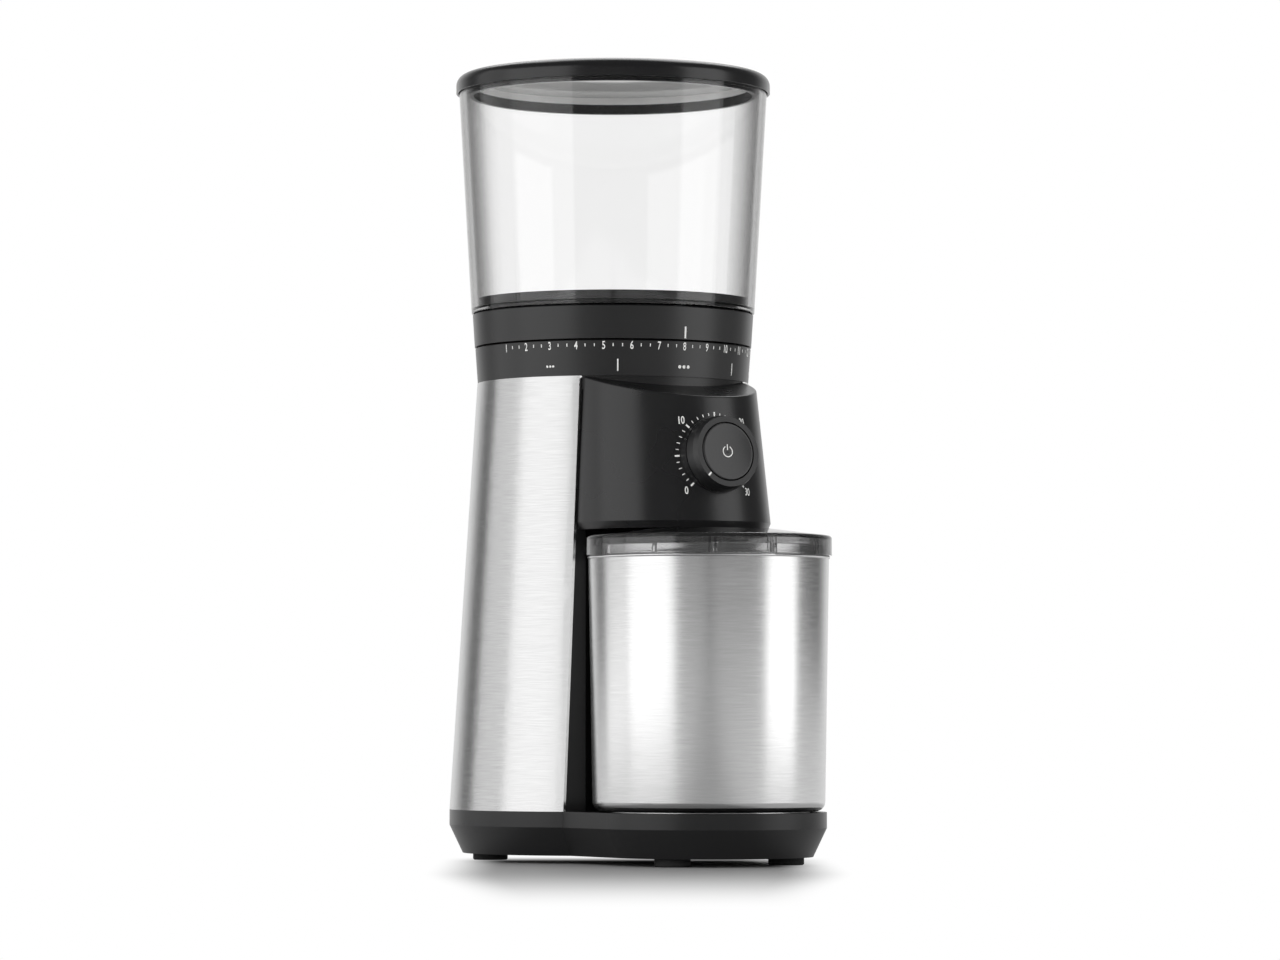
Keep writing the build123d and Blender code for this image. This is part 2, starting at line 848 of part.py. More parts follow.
# Top deck under the scale ring
with BuildPart() as top_deck:
    with BuildSketch(burr_level(deck_bottom)):
        Circle(deck_radius)
        Circle(chamber_radius + loose, mode=Mode.SUBTRACT)
        with Locations((0, switch_circle)):
            Circle(plunger_radius + loose, mode=Mode.SUBTRACT)
        with PolarLocations(chamber_screw_circle, chamber_screws_count, start_angle=screw_start):
            Circle(screw_radius + running, mode=Mode.SUBTRACT)
    extrude(amount=deck_thickness)
    with BuildSketch(burr_level(drum_top)):
        Circle(chamber_flange_radius + loose)
    extrude(amount=-chamber_flange, mode=Mode.SUBTRACT)

# Fixed scale ring
with BuildPart() as scale_ring:
    with BuildSketch(burr_section):
        with BuildLine():
            Polyline(
                (scale_bore, drum_top),
                (scale_bottom_radius, drum_top),
                (scale_top_radius, scale_top),
                (scale_bore, scale_top),
                close=True,
            )
        make_face()
    revolve(axis=burr_axis)
    fillet(scale_ring.edges().group_by(Axis.Z)[-1].sort_by(SortBy.RADIUS)[-1], edge_round)

# Adjusting collar, its sleeve turning in the scale ring
with BuildPart() as adjust_collar:
    band_inner = collar_top_radius - collar_wall
    web_top = collar_bottom + collar_web
    with BuildSketch(burr_section):
        with BuildLine():
            Polyline(
                (sleeve_inner, sleeve_bottom),
                (sleeve_radius, sleeve_bottom),
                (sleeve_radius, collar_bottom),
                (collar_bottom_radius, collar_bottom),
                (collar_top_radius, collar_top),
                (band_inner, collar_top),
                (band_inner, web_top),
                (sleeve_radius, web_top),
                (sleeve_radius, collar_top),
                (sleeve_inner, collar_top),
                close=True,
            )
        make_face()
    revolve(axis=burr_axis)
    fillet(adjust_collar.edges().group_by(Axis.Z)[-1].sort_by(SortBy.RADIUS)[-1], edge_round)
    with BuildSketch(burr_level(sleeve_bottom)):
        with PolarLocations(0, carrier_arms, start_angle=arm_start):
            slot_width = carrier_arm_width + 2 * loose
            Rectangle(sleeve_radius + loose, slot_width, align=(Align.MIN, Align.CENTER))
    extrude(amount=carrier_top + carrier_play + loose - sleeve_bottom, mode=Mode.SUBTRACT)

# Burr carrier, keyed into the collar's sleeve by its arms
with BuildPart() as burr_carrier:
    with BuildSketch(burr_level(carrier_bottom)):
        Circle(carrier_radius)
        Circle(carrier_bore, mode=Mode.SUBTRACT)
    extrude(amount=carrier_top - carrier_bottom)
    with BuildSketch(burr_level(carrier_bottom)):
        Circle(carrier_bore + seat)
        Circle(ring_radius - ring_shoulder + seat, mode=Mode.SUBTRACT)
    extrude(amount=carrier_lip)
    with BuildSketch(burr_level(carrier_top)):
        with PolarLocations(0, carrier_arms, start_angle=arm_start):
            Rectangle(sleeve_radius - loose, carrier_arm_width, align=(Align.MIN, Align.CENTER))
        Circle(carrier_bore + seat, mode=Mode.SUBTRACT)
    extrude(amount=-carrier_arm_height)

# Ring burr with its cutting teeth
with BuildPart(burr_plane) as ring_burr:
    lip_top = carrier_bottom + carrier_lip
    low_bore = between(ring_bottom, burr_bottom, cone_radius, waist_height, cone_waist) + burr_gap
    waist_bore = cone_waist + burr_gap
    with BuildSketch(burr_section):
        with BuildLine():
            Polyline(
                (low_bore, ring_bottom),
                (ring_radius - ring_shoulder, ring_bottom),
                (ring_radius - ring_shoulder, lip_top),
                (ring_radius, lip_top),
                (ring_radius, ring_top),
                (ring_mouth_radius, ring_top),
                (waist_bore, waist_height),
                close=True,
            )
        make_face()
    revolve(axis=burr_axis)
    fine_cut = groove(
        ring_bottom, waist_height, low_bore, waist_bore, -fine_depth, fine_half_angle, -fine_skew
    )
    with PolarLocations(0, fine_teeth):
        add(fine_cut, mode=Mode.SUBTRACT)
    crush_cut = groove(
        waist_height, ring_top, waist_bore, ring_mouth_radius, -crush_depth, crush_half_angle, -crush_skew
    )
    with PolarLocations(0, ring_crush_teeth):
        add(crush_cut, mode=Mode.SUBTRACT)

# Cone burr with its cutting teeth
with BuildPart(burr_plane) as cone_burr:
    with BuildSketch(burr_section):
        with BuildLine():
            Polyline(
                (shaft_radius + running, burr_bottom),
                (cone_radius, burr_bottom),
                (cone_waist, waist_height),
                (cone_tip, tip_height),
                (shaft_radius + running, tip_height),
                close=True,
            )
        make_face()
    revolve(axis=burr_axis)
    fine_cut = groove(
        burr_bottom, waist_height, cone_radius, cone_waist, fine_depth, fine_half_angle, fine_skew
    )
    with PolarLocations(0, fine_teeth):
        add(fine_cut, mode=Mode.SUBTRACT)
    crush_cut = groove(
        waist_height, tip_height, cone_waist, cone_tip, crush_depth, crush_half_angle, crush_skew
    )
    with PolarLocations(0, crush_teeth):
        add(crush_cut, mode=Mode.SUBTRACT)

# Nut that holds the cone burr
with BuildPart() as burr_nut:
    with BuildSketch(burr_level(tip_height)):
        RegularPolygon(nut_radius, 6)
        Circle(shaft_radius + running, mode=Mode.SUBTRACT)
    extrude(amount=nut_height)

# Impeller that sweeps the grounds into the port
with BuildPart() as impeller:
    with BuildSketch(burr_level(impeller_bottom)):
        Circle(impeller_radius)
    extrude(amount=impeller_disc)
    with BuildSketch(burr_level(impeller_bottom)):
        Circle(impeller_hub_radius)
    extrude(amount=burr_bottom - impeller_bottom)
    with BuildSketch(burr_level(impeller_bottom)):
        with PolarLocations(0, impeller_blades):
            Rectangle(impeller_radius - seat, impeller_blade_width, align=(Align.MIN, Align.CENTER))
    extrude(amount=impeller_height)
    with BuildSketch(burr_level(impeller_bottom)):
        Circle(shaft_radius + running)
    extrude(amount=burr_bottom - impeller_bottom, mode=Mode.SUBTRACT)

# Burr shaft
with BuildPart() as burr_shaft:
    with BuildSketch(burr_level(shaft_bottom)):
        Circle(shaft_radius)
    extrude(amount=shaft_top - shaft_bottom)
    chamfer(burr_shaft.edges(), edge_round)

# Grind chamber, with the spout that the chute joins
with BuildPart() as grind_chamber:
    with BuildSketch(burr_level(chamber_floor_bottom)):
        Circle(chamber_radius)
    extrude(amount=drum_top - chamber_floor_bottom)
    with BuildSketch(burr_level(drum_top)):
        Circle(chamber_flange_radius)
    extrude(amount=-chamber_flange)
    with BuildSketch(burr_level(port_bottom - chamber_wall)):
        Rectangle(port_width + 2 * chamber_wall, spout_reach, align=(Align.CENTER, Align.MAX))
    extrude(amount=port_top - port_bottom + 2 * chamber_wall)
    with BuildSketch(burr_level(chamber_step)):
        Circle(chamber_bore)
    extrude(amount=drum_top - chamber_step, mode=Mode.SUBTRACT)
    with BuildSketch(burr_level(chamber_floor_top)):
        Circle(chamber_step_radius)
    extrude(amount=chamber_step - chamber_floor_top, mode=Mode.SUBTRACT)
    with BuildSketch(burr_level(port_bottom)):
        Rectangle(port_width, spout_reach, align=(Align.CENTER, Align.MAX))
    extrude(amount=port_top - port_bottom, mode=Mode.SUBTRACT)
    with BuildSketch(burr_level(chamber_floor_bottom)):
        Circle(shaft_radius + loose)
    extrude(amount=chamber_floor_top - chamber_floor_bottom, mode=Mode.SUBTRACT)
    with BuildSketch(burr_level(drum_top)):
        with PolarLocations(chamber_screw_circle, chamber_screws_count, start_angle=screw_start):
            Circle(screw_radius + seat)
    extrude(amount=-chamber_flange, mode=Mode.SUBTRACT)
    with BuildSketch(burr_level(drum_top)):
        with PolarLocations(chamber_screw_circle, chamber_screws_count, start_angle=screw_start):
            Circle(screw_head_radius + loose)
    extrude(amount=-screw_head - seat, mode=Mode.SUBTRACT)

# Screws that hold the chamber to the deck
with BuildPart(burr_level(drum_top - screw_head - seat)) as chamber_screws:
    with PolarLocations(chamber_screw_circle, chamber_screws_count, start_angle=screw_start):
        add(screw(chamber_screw_length))

# Chute from the spout down to the cup
with BuildPart() as chute:
    with BuildSketch(side_section):
        add(chute_profile(chute_wall))
    extrude(amount=chute_width / 2, both=True)
    with BuildSketch(side_section):
        add(chute_profile(0))
    extrude(amount=port_width / 2, both=True, mode=Mode.SUBTRACT)

# Gearbox base: floor, wall and the boss of the lower bearing
with BuildPart() as gearbox_base:
    with BuildSketch(Plane.XY.offset(gearbox_floor_bottom)):
        add(gearbox_outline(gearbox_wall))
    extrude(amount=gearbox_lid_bottom - gearbox_floor_bottom)
    with BuildSketch(Plane.XY.offset(gearbox_floor_bottom + gearbox_floor)):
        add(gearbox_outline(0))
    extrude(amount=gearbox_lid_bottom - gearbox_floor_bottom - gearbox_floor, mode=Mode.SUBTRACT)
    with BuildSketch(burr_level(gearbox_floor_bottom)):
        Circle(bearing_radius + gearbox_wall)
    extrude(amount=-bearing_drop - gearbox_wall)
    with BuildSketch(burr_level(gearbox_floor_bottom - bearing_drop)):
        Circle(bearing_radius + running)
    extrude(amount=bearing_drop + gearbox_floor, mode=Mode.SUBTRACT)
    with BuildSketch(idler_level(gearbox_floor_bottom)):
        Circle(idler_pin_radius + running)
    extrude(amount=gearbox_floor, mode=Mode.SUBTRACT)
    with BuildSketch(motor_level(gearbox_floor_bottom)):
        Circle(motor_nose_radius + loose)
        with PolarLocations(motor_screw_circle, motor_screw_count):
            Circle(screw_radius + seat)
    extrude(amount=gearbox_floor, mode=Mode.SUBTRACT)
    with BuildSketch(Plane.XY.offset(gearbox_lid_bottom)):
        with Locations(*post_points):
            Circle(boss_radius)
    extrude(amount=gearbox_floor_bottom - gearbox_lid_bottom)
    with BuildSketch(Plane.XY.offset(gearbox_lid_bottom)):
        with Locations(*post_points):
            Circle(screw_radius + running)
    extrude(amount=-gearbox_screw_length, mode=Mode.SUBTRACT)

# Gearbox cover with the boss of the upper bearing
with BuildPart() as gearbox_cover:
    with BuildSketch(Plane.XY.offset(gearbox_lid_bottom)):
        add(gearbox_outline(gearbox_wall))
        with Locations(*post_points):
            Circle(screw_radius + seat, mode=Mode.SUBTRACT)
    extrude(amount=gearbox_lid)
    with BuildSketch(burr_level(gearbox_lid_bottom)):
        Circle(bearing_radius + gearbox_wall)
    extrude(amount=chamber_floor_bottom - gearbox_lid_bottom)
    with BuildSketch(burr_level(gearbox_lid_bottom)):
        Circle(bearing_radius + running)
    extrude(amount=bearing_height, mode=Mode.SUBTRACT)
    with BuildSketch(burr_level(gearbox_lid_bottom)):
        Circle(shaft_radius + loose)
    extrude(amount=chamber_floor_bottom - gearbox_lid_bottom, mode=Mode.SUBTRACT)
    with BuildSketch(idler_level(gearbox_lid_bottom)):
        Circle(idler_pin_radius + running)
    extrude(amount=gearbox_lid, mode=Mode.SUBTRACT)

# Screws of the gearbox cover
with BuildPart() as gearbox_screws:
    with Locations(*[(x, y, gearbox_lid_bottom + gearbox_lid) for x, y in post_points]):
        add(screw(gearbox_screw_length))

# Posts that carry the gearbox on the base
with BuildPart() as support_posts:
    with BuildSketch(Plane.XY.offset(base_height)):
        with Locations(*post_points):
            Circle(boss_radius)
    extrude(amount=gearbox_floor_bottom - base_height)

# Bearings of the burr shaft
with BuildPart() as lower_bearing:
    with BuildSketch(burr_level(gearbox_floor_bottom - bearing_drop)):
        Circle(bearing_radius)
        Circle(shaft_radius + running, mode=Mode.SUBTRACT)
    extrude(amount=bearing_height)

with BuildPart() as upper_bearing:
    with BuildSketch(burr_level(gearbox_lid_bottom)):
        Circle(bearing_radius)
        Circle(shaft_radius + running, mode=Mode.SUBTRACT)
    extrude(amount=bearing_height)

# Idler pin and the idler's two gears in one piece
with BuildPart() as idler_pin:
    with BuildSketch(idler_level(gearbox_floor_bottom)):
        Circle(idler_pin_radius)
    extrude(amount=gearbox_lid_bottom + gearbox_lid - gearbox_floor_bottom)

with BuildPart() as idler_gear:
    with BuildSketch(idler_level(stage_one_bottom)):
        add(gear_face(idler_wheel_teeth), rotation=idler_wheel_turn)
    extrude(amount=stage_one_width)
    with BuildSketch(idler_level(stage_one_bottom + stage_one_width)):
        add(gear_face(idler_pinion_teeth), rotation=idler_pinion_turn)
    extrude(amount=stage_two_bottom + stage_two_width - stage_one_bottom - stage_one_width)
    with BuildSketch(idler_level(stage_one_bottom)):
        Circle(idler_pin_radius + running)
    extrude(amount=stage_two_bottom + stage_two_width - stage_one_bottom, mode=Mode.SUBTRACT)

# Burr gear on the shaft
with BuildPart() as burr_gear:
    with BuildSketch(burr_level(stage_two_bottom)):
        add(gear_face(burr_gear_teeth), rotation=burr_gear_turn)
        Circle(shaft_radius + running, mode=Mode.SUBTRACT)
    extrude(amount=stage_two_width)

# Motor pinion
with BuildPart() as motor_pinion:
    with BuildSketch(motor_level(stage_one_bottom)):
        add(gear_face(motor_pinion_teeth), rotation=motor_pinion_turn)
        Circle(motor_shaft_radius + running, mode=Mode.SUBTRACT)
    extrude(amount=stage_one_width)

# Motor can, with the nose that centres it in the gearbox floor
with BuildPart() as motor_can:
    with BuildSketch(motor_level(motor_bottom)):
        Circle(motor_radius)
    extrude(amount=gearbox_floor_bottom - motor_bottom)
    with BuildSketch(motor_level(motor_bottom)):
        Circle(motor_radius - motor_wall)
    extrude(amount=gearbox_floor_bottom - motor_wall - motor_bottom, mode=Mode.SUBTRACT)
    with BuildSketch(motor_level(gearbox_floor_bottom)):
        Circle(motor_nose_radius)
    extrude(amount=motor_nose)
    with BuildSketch(motor_level(gearbox_floor_bottom - motor_wall)):
        Circle(motor_shaft_radius + running)
    extrude(amount=motor_wall + motor_nose, mode=Mode.SUBTRACT)
    with BuildSketch(motor_level(gearbox_floor_bottom)):
        with PolarLocations(motor_screw_circle, motor_screw_count):
            Circle(screw_radius + running)
    extrude(amount=-motor_wall, mode=Mode.SUBTRACT)

# Screws that hold the motor under the gearbox
with BuildPart(motor_level(gearbox_floor_bottom + gearbox_floor)) as motor_screws:
    with PolarLocations(motor_screw_circle, motor_screw_count):
        add(screw(gearbox_floor + motor_wall))

# Motor end bell with the lower bearing boss
with BuildPart() as motor_end_bell:
    with BuildSketch(motor_level(motor_bottom)):
        Circle(motor_radius)
    extrude(amount=-bell_thickness)
    with BuildSketch(motor_level(motor_bottom - bell_thickness)):
        Circle(bell_boss_radius)
    extrude(amount=-bell_boss)
    with BuildSketch(motor_level(motor_bottom)):
        Circle(motor_shaft_radius + running)
    extrude(amount=-bell_thickness - bell_boss, mode=Mode.SUBTRACT)

# Motor magnets, two arcs inside the can
with BuildPart() as motor_magnets:
    magnet_mid = (armature_radius + magnet_gap + motor_radius - motor_wall - seat) / 2
    magnet_thick = motor_radius - motor_wall - seat - armature_radius - magnet_gap
    for turn in (0, 180):
        with BuildSketch(Plane((0, motor_y, 0), x_dir=(1, 0, 0), z_dir=(0, -1, 0)).rotated((0, 0, turn))):
            with Locations((magnet_mid, magnet_bottom)):
                Rectangle(magnet_thick, magnet_height, align=(Align.CENTER, Align.MIN))
        revolve(axis=Axis((0, motor_y, 0), (0, 0, 1)), revolution_arc=magnet_arc)

# Motor shaft and slotted armature
with BuildPart() as motor_shaft:
    with BuildSketch(motor_level(motor_bottom - bell_thickness - bell_boss)):
        Circle(motor_shaft_radius)
    extrude(amount=stage_one_bottom + stage_one_width - motor_bottom + bell_thickness + bell_boss)

with BuildPart() as motor_armature:
    with BuildSketch(motor_level(armature_bottom)):
        Circle(armature_radius)
        Circle(motor_shaft_radius + running, mode=Mode.SUBTRACT)
        with PolarLocations(armature_radius - armature_slot_depth, armature_slots):
            Rectangle(
                armature_radius, armature_slot_width, align=(Align.MIN, Align.CENTER), mode=Mode.SUBTRACT
            )
    extrude(amount=armature_length)

# Timer knob: a ring round the button, with a sleeve into the encoder
with BuildPart() as timer_knob:
    with BuildSketch(knob_plane.offset(knob_back)):
        Circle(knob_base_radius)
    extrude(amount=knob_side, taper=degrees(atan(knob_side_draft / knob_side)))
    with BuildSketch(knob_plane.offset(knob_back + knob_side)):
        Circle(knob_shoulder_radius)
    extrude(amount=knob_bevel, taper=degrees(atan(knob_bevel_draft / knob_bevel)))
    with BuildSketch(knob_plane.offset(knob_back)):
        Circle(sleeve_outer)
    extrude(amount=-knob_back - sleeve_reach)
    with BuildSketch(knob_plane.offset(knob_back + knob_depth)):
        Circle(button_radius + button_gap)
    extrude(amount=-knob_depth + knob_web, mode=Mode.SUBTRACT)
    with BuildSketch(knob_plane.offset(-sleeve_reach)):
        Circle(sleeve_bore)
    extrude(amount=knob_back + knob_web + sleeve_reach, mode=Mode.SUBTRACT)

# Start button with its stem down to the switch
with BuildPart() as start_button:
    with BuildSketch(knob_plane.offset(button_back)):
        Circle(button_radius)
    extrude(amount=button_thickness)
    fillet(start_button.edges(), edge_round)
    with Locations(knob_plane.offset(button_back + button_thickness - button_dish + dish_radius)):
        Sphere(dish_radius, mode=Mode.SUBTRACT)
    with BuildSketch(knob_plane.offset(button_back)):
        Circle(stem_radius)
    extrude(amount=-button_back - stem_reach)

# Timer encoder, hollow for the knob's sleeve and the button's stem
with BuildPart() as timer_encoder:
    with BuildSketch(knob_plane.offset(-board_front)):
        Circle(encoder_radius)
        Circle(sleeve_outer + running, mode=Mode.SUBTRACT)
    extrude(amount=encoder_length)

# Start switch on the board, inside the encoder
with BuildPart() as start_switch:
    with BuildSketch(knob_plane.offset(-board_front)):
        Rectangle(switch_size, switch_size)
    extrude(amount=switch_height)

# Control board
with BuildPart() as control_board:
    with BuildSketch(knob_plane.offset(-board_front)):
        with Locations((0, (board_above - board_below) / 2)):
            RectangleRounded(board_width, board_above + board_below, edge_round)
        with Locations(*board_post_points):
            Circle(screw_radius + seat, mode=Mode.SUBTRACT)
    extrude(amount=-board_thickness)

# Screws of the control board
with BuildPart(knob_plane.offset(-board_front - board_thickness)) as board_screws:
    with Locations(*board_post_points):
        add(screw(board_screw_length + board_thickness - seat), rotation=(180, 0, 0))

# Power board in the base
with BuildPart() as power_board:
    with BuildSketch(Plane((0, axis_y + power_board_behind, plate_top + power_board_lift))):
        Rectangle(power_board_width, power_board_length)
    extrude(amount=board_thickness)
    with BuildSketch(Plane((0, axis_y + power_board_behind, plate_top))):
        with GridLocations(power_board_width - 2 * boss_radius, power_board_length - 2 * boss_radius, 2, 2):
            Circle(boss_radius)
    extrude(amount=power_board_lift)
    with BuildSketch(Plane((0, axis_y + power_board_behind, plate_top + power_board_lift + board_thickness))):
        with Locations((-capacitor_across, 0)):
            Circle(capacitor_radius)
    extrude(amount=capacitor_height)
    with BuildSketch(Plane((0, axis_y + power_board_behind, plate_top + power_board_lift + board_thickness))):
        with Locations((coil_across, 0)):
            RectangleRounded(coil_size, coil_size, edge_round)
    extrude(amount=coil_height)

# Switch under the deck that senses the collar
with BuildPart() as hopper_switch:
    with BuildSketch(burr_level(deck_bottom)):
        with Locations((0, switch_circle)):
            Rectangle(hopper_switch_length, hopper_switch_width)
    extrude(amount=-hopper_switch_height)
    with BuildSketch(burr_level(deck_bottom)):
        with Locations((0, switch_circle)):
            Circle(plunger_radius)
    extrude(amount=deck_thickness)

# Smoked hopper
with BuildPart() as hopper:
    ledge_radius = between(ledge_top, hopper_bottom, hopper_bottom_radius, hopper_top, hopper_top_radius)
    with BuildSketch(burr_section):
        with BuildLine():
            Polyline(
                (hopper_ledge_bore, hopper_bottom),
                (hopper_bottom_radius, hopper_bottom),
                (hopper_top_radius, hopper_top),
                (hopper_top_radius - hopper_wall, hopper_top),
                (ledge_radius - hopper_wall, ledge_top),
                (hopper_ledge_bore, ledge_top),
                close=True,
            )
        make_face()
    revolve(axis=burr_axis)
    fillet(hopper.edges().group_by(Axis.Z)[0].sort_by(SortBy.RADIUS)[-1], edge_round)

# Funnel in the hopper's foot, its spigot standing in the collar
with BuildPart() as hopper_funnel:
    rim_radius = ledge_radius - hopper_wall - loose
    throat_outer = throat_radius + funnel_wall
    slope = (ledge_top + funnel_rim - throat_top) / (rim_radius - funnel_rim_width - throat_radius)
    under_drop = funnel_wall * sqrt(1 + slope**2)
    spigot_inner = spigot_radius - funnel_wall
    with BuildSketch(burr_section):
        with BuildLine():
            Polyline(
                (rim_radius, ledge_top),
                (rim_radius, ledge_top + funnel_rim),
                (rim_radius - funnel_rim_width, ledge_top + funnel_rim),
                (throat_radius, throat_top),
                (throat_radius, throat_bottom),
                (throat_outer, throat_bottom),
                (throat_outer, throat_top + slope * funnel_wall - under_drop),
                (spigot_inner, throat_top + slope * (spigot_inner - throat_radius) - under_drop),
                (spigot_inner, hopper_bottom - spigot_depth),
                (spigot_radius, hopper_bottom - spigot_depth),
                (spigot_radius, ledge_top),
                close=True,
            )
        make_face()
    revolve(axis=burr_axis)

# Hopper lid, a shallow dome with a plug ring below
with BuildPart() as hopper_lid:
    plug_radius = hopper_top_radius - hopper_wall - seal_width - 2 * loose
    with BuildSketch(burr_section):
        with BuildLine():
            middle_dome = lid_dome - (lid_dome - lid_rim_top) / 4
            ThreePointArc((lid_radius, lid_rim_top), (lid_radius / 2, middle_dome), (0, lid_dome))
            Polyline(
                (0, lid_dome),
                (0, lid_underside),
                (plug_radius - lid_plug_wall, lid_underside),
                (plug_radius - lid_plug_wall, lid_plug_bottom),
                (plug_radius, lid_plug_bottom),
                (plug_radius, hopper_top),
                (hopper_top_radius + loose, hopper_top),
                (hopper_top_radius + loose, lid_rim_bottom),
                (lid_radius, lid_rim_bottom),
                (lid_radius, lid_rim_top),
            )
        make_face()
    revolve(axis=burr_axis)
    fillet(rim_edges(hopper_lid, lid_rim_top), lid_edge)

# Seal round the lid's plug
with BuildPart() as lid_seal:
    with BuildSketch(burr_section):
        with Locations((plug_radius, hopper_top - seat)):
            Rectangle(seal_width, seal_height, align=(Align.MIN, Align.MAX))
        with Locations((plug_radius + seal_width, hopper_top - seal_height / 2)):
            Circle(seal_width / 2, mode=Mode.SUBTRACT)
    revolve(axis=burr_axis)

# Grounds cup: a drawn steel shell with a rolled rim and a foot ring
with BuildPart() as grounds_cup:
    with BuildSketch(cup_section):
        with BuildLine():
            Polyline(
                (0, cup_bottom),
                (cup_base_radius, cup_bottom),
                (cup_rim_radius, cup_rim_height),
                (0, cup_rim_height),
                close=True,
            )
        make_face()
    revolve(axis=cup_axis)
    fillet(grounds_cup.edges().group_by(Axis.Z)[0], cup_edge)
    offset(amount=-cup_wall, openings=grounds_cup.faces().sort_by(Axis.Z)[-1])
    with BuildSketch(cup_section):
        with Locations((cup_rim_radius - cup_wall / 2, cup_rim_height - rim_bead_radius)):
            Circle(rim_bead_radius)
    revolve(axis=cup_axis)
    with BuildSketch(cup_level(base_height)):
        Circle(cup_foot_radius)
        Circle(cup_foot_radius - cup_foot_width, mode=Mode.SUBTRACT)
    extrude(amount=cup_foot)

# Cup lid: a skirt on the rim, a low cone with the inlet, and a plug in the mouth
with BuildPart() as cup_lid:
    skirt_inner = cup_lid_radius - cup_lid_wall
    plug_inner = cup_plug_radius - cup_lid_wall
    lip_radius = cup_inlet_radius + cup_lid_wall
    plateau_radius = cup_lid_radius - cup_lid_slope
    with BuildSketch(cup_section):
        with BuildLine():
            Polyline(
                (cup_lid_radius, cup_band_bottom),
                (cup_lid_radius, cup_band_top),
                (plateau_radius, cup_lid_top),
                (cup_inlet_radius, cup_lid_top),
                (cup_inlet_radius, cup_lid_top - cup_inlet_lip - cup_lid_wall),
                (lip_radius, cup_lid_top - cup_inlet_lip - cup_lid_wall),
                (lip_radius, cup_lid_top - cup_lid_wall),
                (plateau_radius, cup_lid_top - cup_lid_wall),
                (plug_inner, cup_band_top - cup_lid_wall + loose),
                (plug_inner, cup_band_bottom - cup_plug_depth),
                (cup_plug_radius, cup_band_bottom - cup_plug_depth),
                (cup_plug_radius, cup_band_top - cup_lid_wall),
                (skirt_inner, cup_band_top - cup_lid_wall),
                (skirt_inner, cup_band_bottom),
                close=True,
            )
        make_face()
    revolve(axis=cup_axis)
    fillet(rim_edges(cup_lid, cup_band_top), cup_lid_round)
    rib_length = skirt_inner - cup_plug_radius + 2 * seat
    with BuildSketch(cup_level(cup_band_bottom)):
        for step in (-1, 0, 1):
            for side in (-1, 1):
                turn = -90 + step * cup_rib_step + side * degrees(cup_rib_gap / 2 / cup_lid_radius)
                with PolarLocations(cup_plug_radius - seat, 1, start_angle=turn):
                    Rectangle(rib_length, cup_rib_width, align=(Align.MIN, Align.CENTER))
    extrude(amount=cup_lid_band - cup_lid_wall)

# Seal round the cup lid's plug
with BuildPart() as cup_lid_seal:
    with BuildSketch(cup_section):
        with Locations((cup_plug_radius, cup_band_bottom - cup_plug_depth / 2)):
            Rectangle(cup_seal_width, cup_seal_height, align=(Align.MIN, Align.CENTER))
    revolve(axis=cup_axis)

pieces = {
    "base_tray": base_tray,
    "bottom_plate": bottom_plate,
    "base_screws": base_screws,
    "feet": feet,
    "cord_gland": cord_gland,
    "steel_wrap": steel_wrap,
    "core_housing": core_housing,
    "head_housing": head_housing,
    "head_floor": head_floor,
    "top_deck": top_deck,
    "scale_ring": scale_ring,
    "grind_chamber": grind_chamber,
    "chamber_screws": chamber_screws,
    "chute": chute,
    "gearbox_base": gearbox_base,
    "gearbox_cover": gearbox_cover,
    "gearbox_screws": gearbox_screws,
    "support_posts": support_posts,
    "lower_bearing": lower_bearing,
    "upper_bearing": upper_bearing,
    "idler_pin": idler_pin,
    "motor_can": motor_can,
    "motor_screws": motor_screws,
    "motor_end_bell": motor_end_bell,
    "motor_magnets": motor_magnets,
    "control_board": control_board,
    "board_screws": board_screws,
    "timer_encoder": timer_encoder,
    "start_switch": start_switch,
    "power_board": power_board,
    "hopper_switch": hopper_switch,
    "adjust_collar": adjust_collar,
    "burr_carrier": burr_carrier,
    "ring_burr": ring_burr,
    "hopper": hopper,
    "hopper_funnel": hopper_funnel,
    "hopper_lid": hopper_lid,
    "lid_seal": lid_seal,
    "burr_shaft": burr_shaft,
    "burr_gear": burr_gear,
    "cone_burr": cone_burr,
    "burr_nut": burr_nut,
    "impeller": impeller,
    "idler_gear": idler_gear,
    "motor_shaft": motor_shaft,
    "motor_armature": motor_armature,
    "motor_pinion": motor_pinion,
    "timer_knob": timer_knob,
    "start_button": start_button,
    "grounds_cup": grounds_cup,
    "cup_lid": cup_lid,
    "cup_lid_seal": cup_lid_seal,
}
for name, piece in pieces.items():
    piece.part.label = name
    export_step(piece.part, f"parts/{name}.step")
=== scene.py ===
import json
from math import cos, pi, radians, sin

import bmesh
import bpy
from mathutils import Matrix, Vector
from mathutils.bvhtree import BVHTree


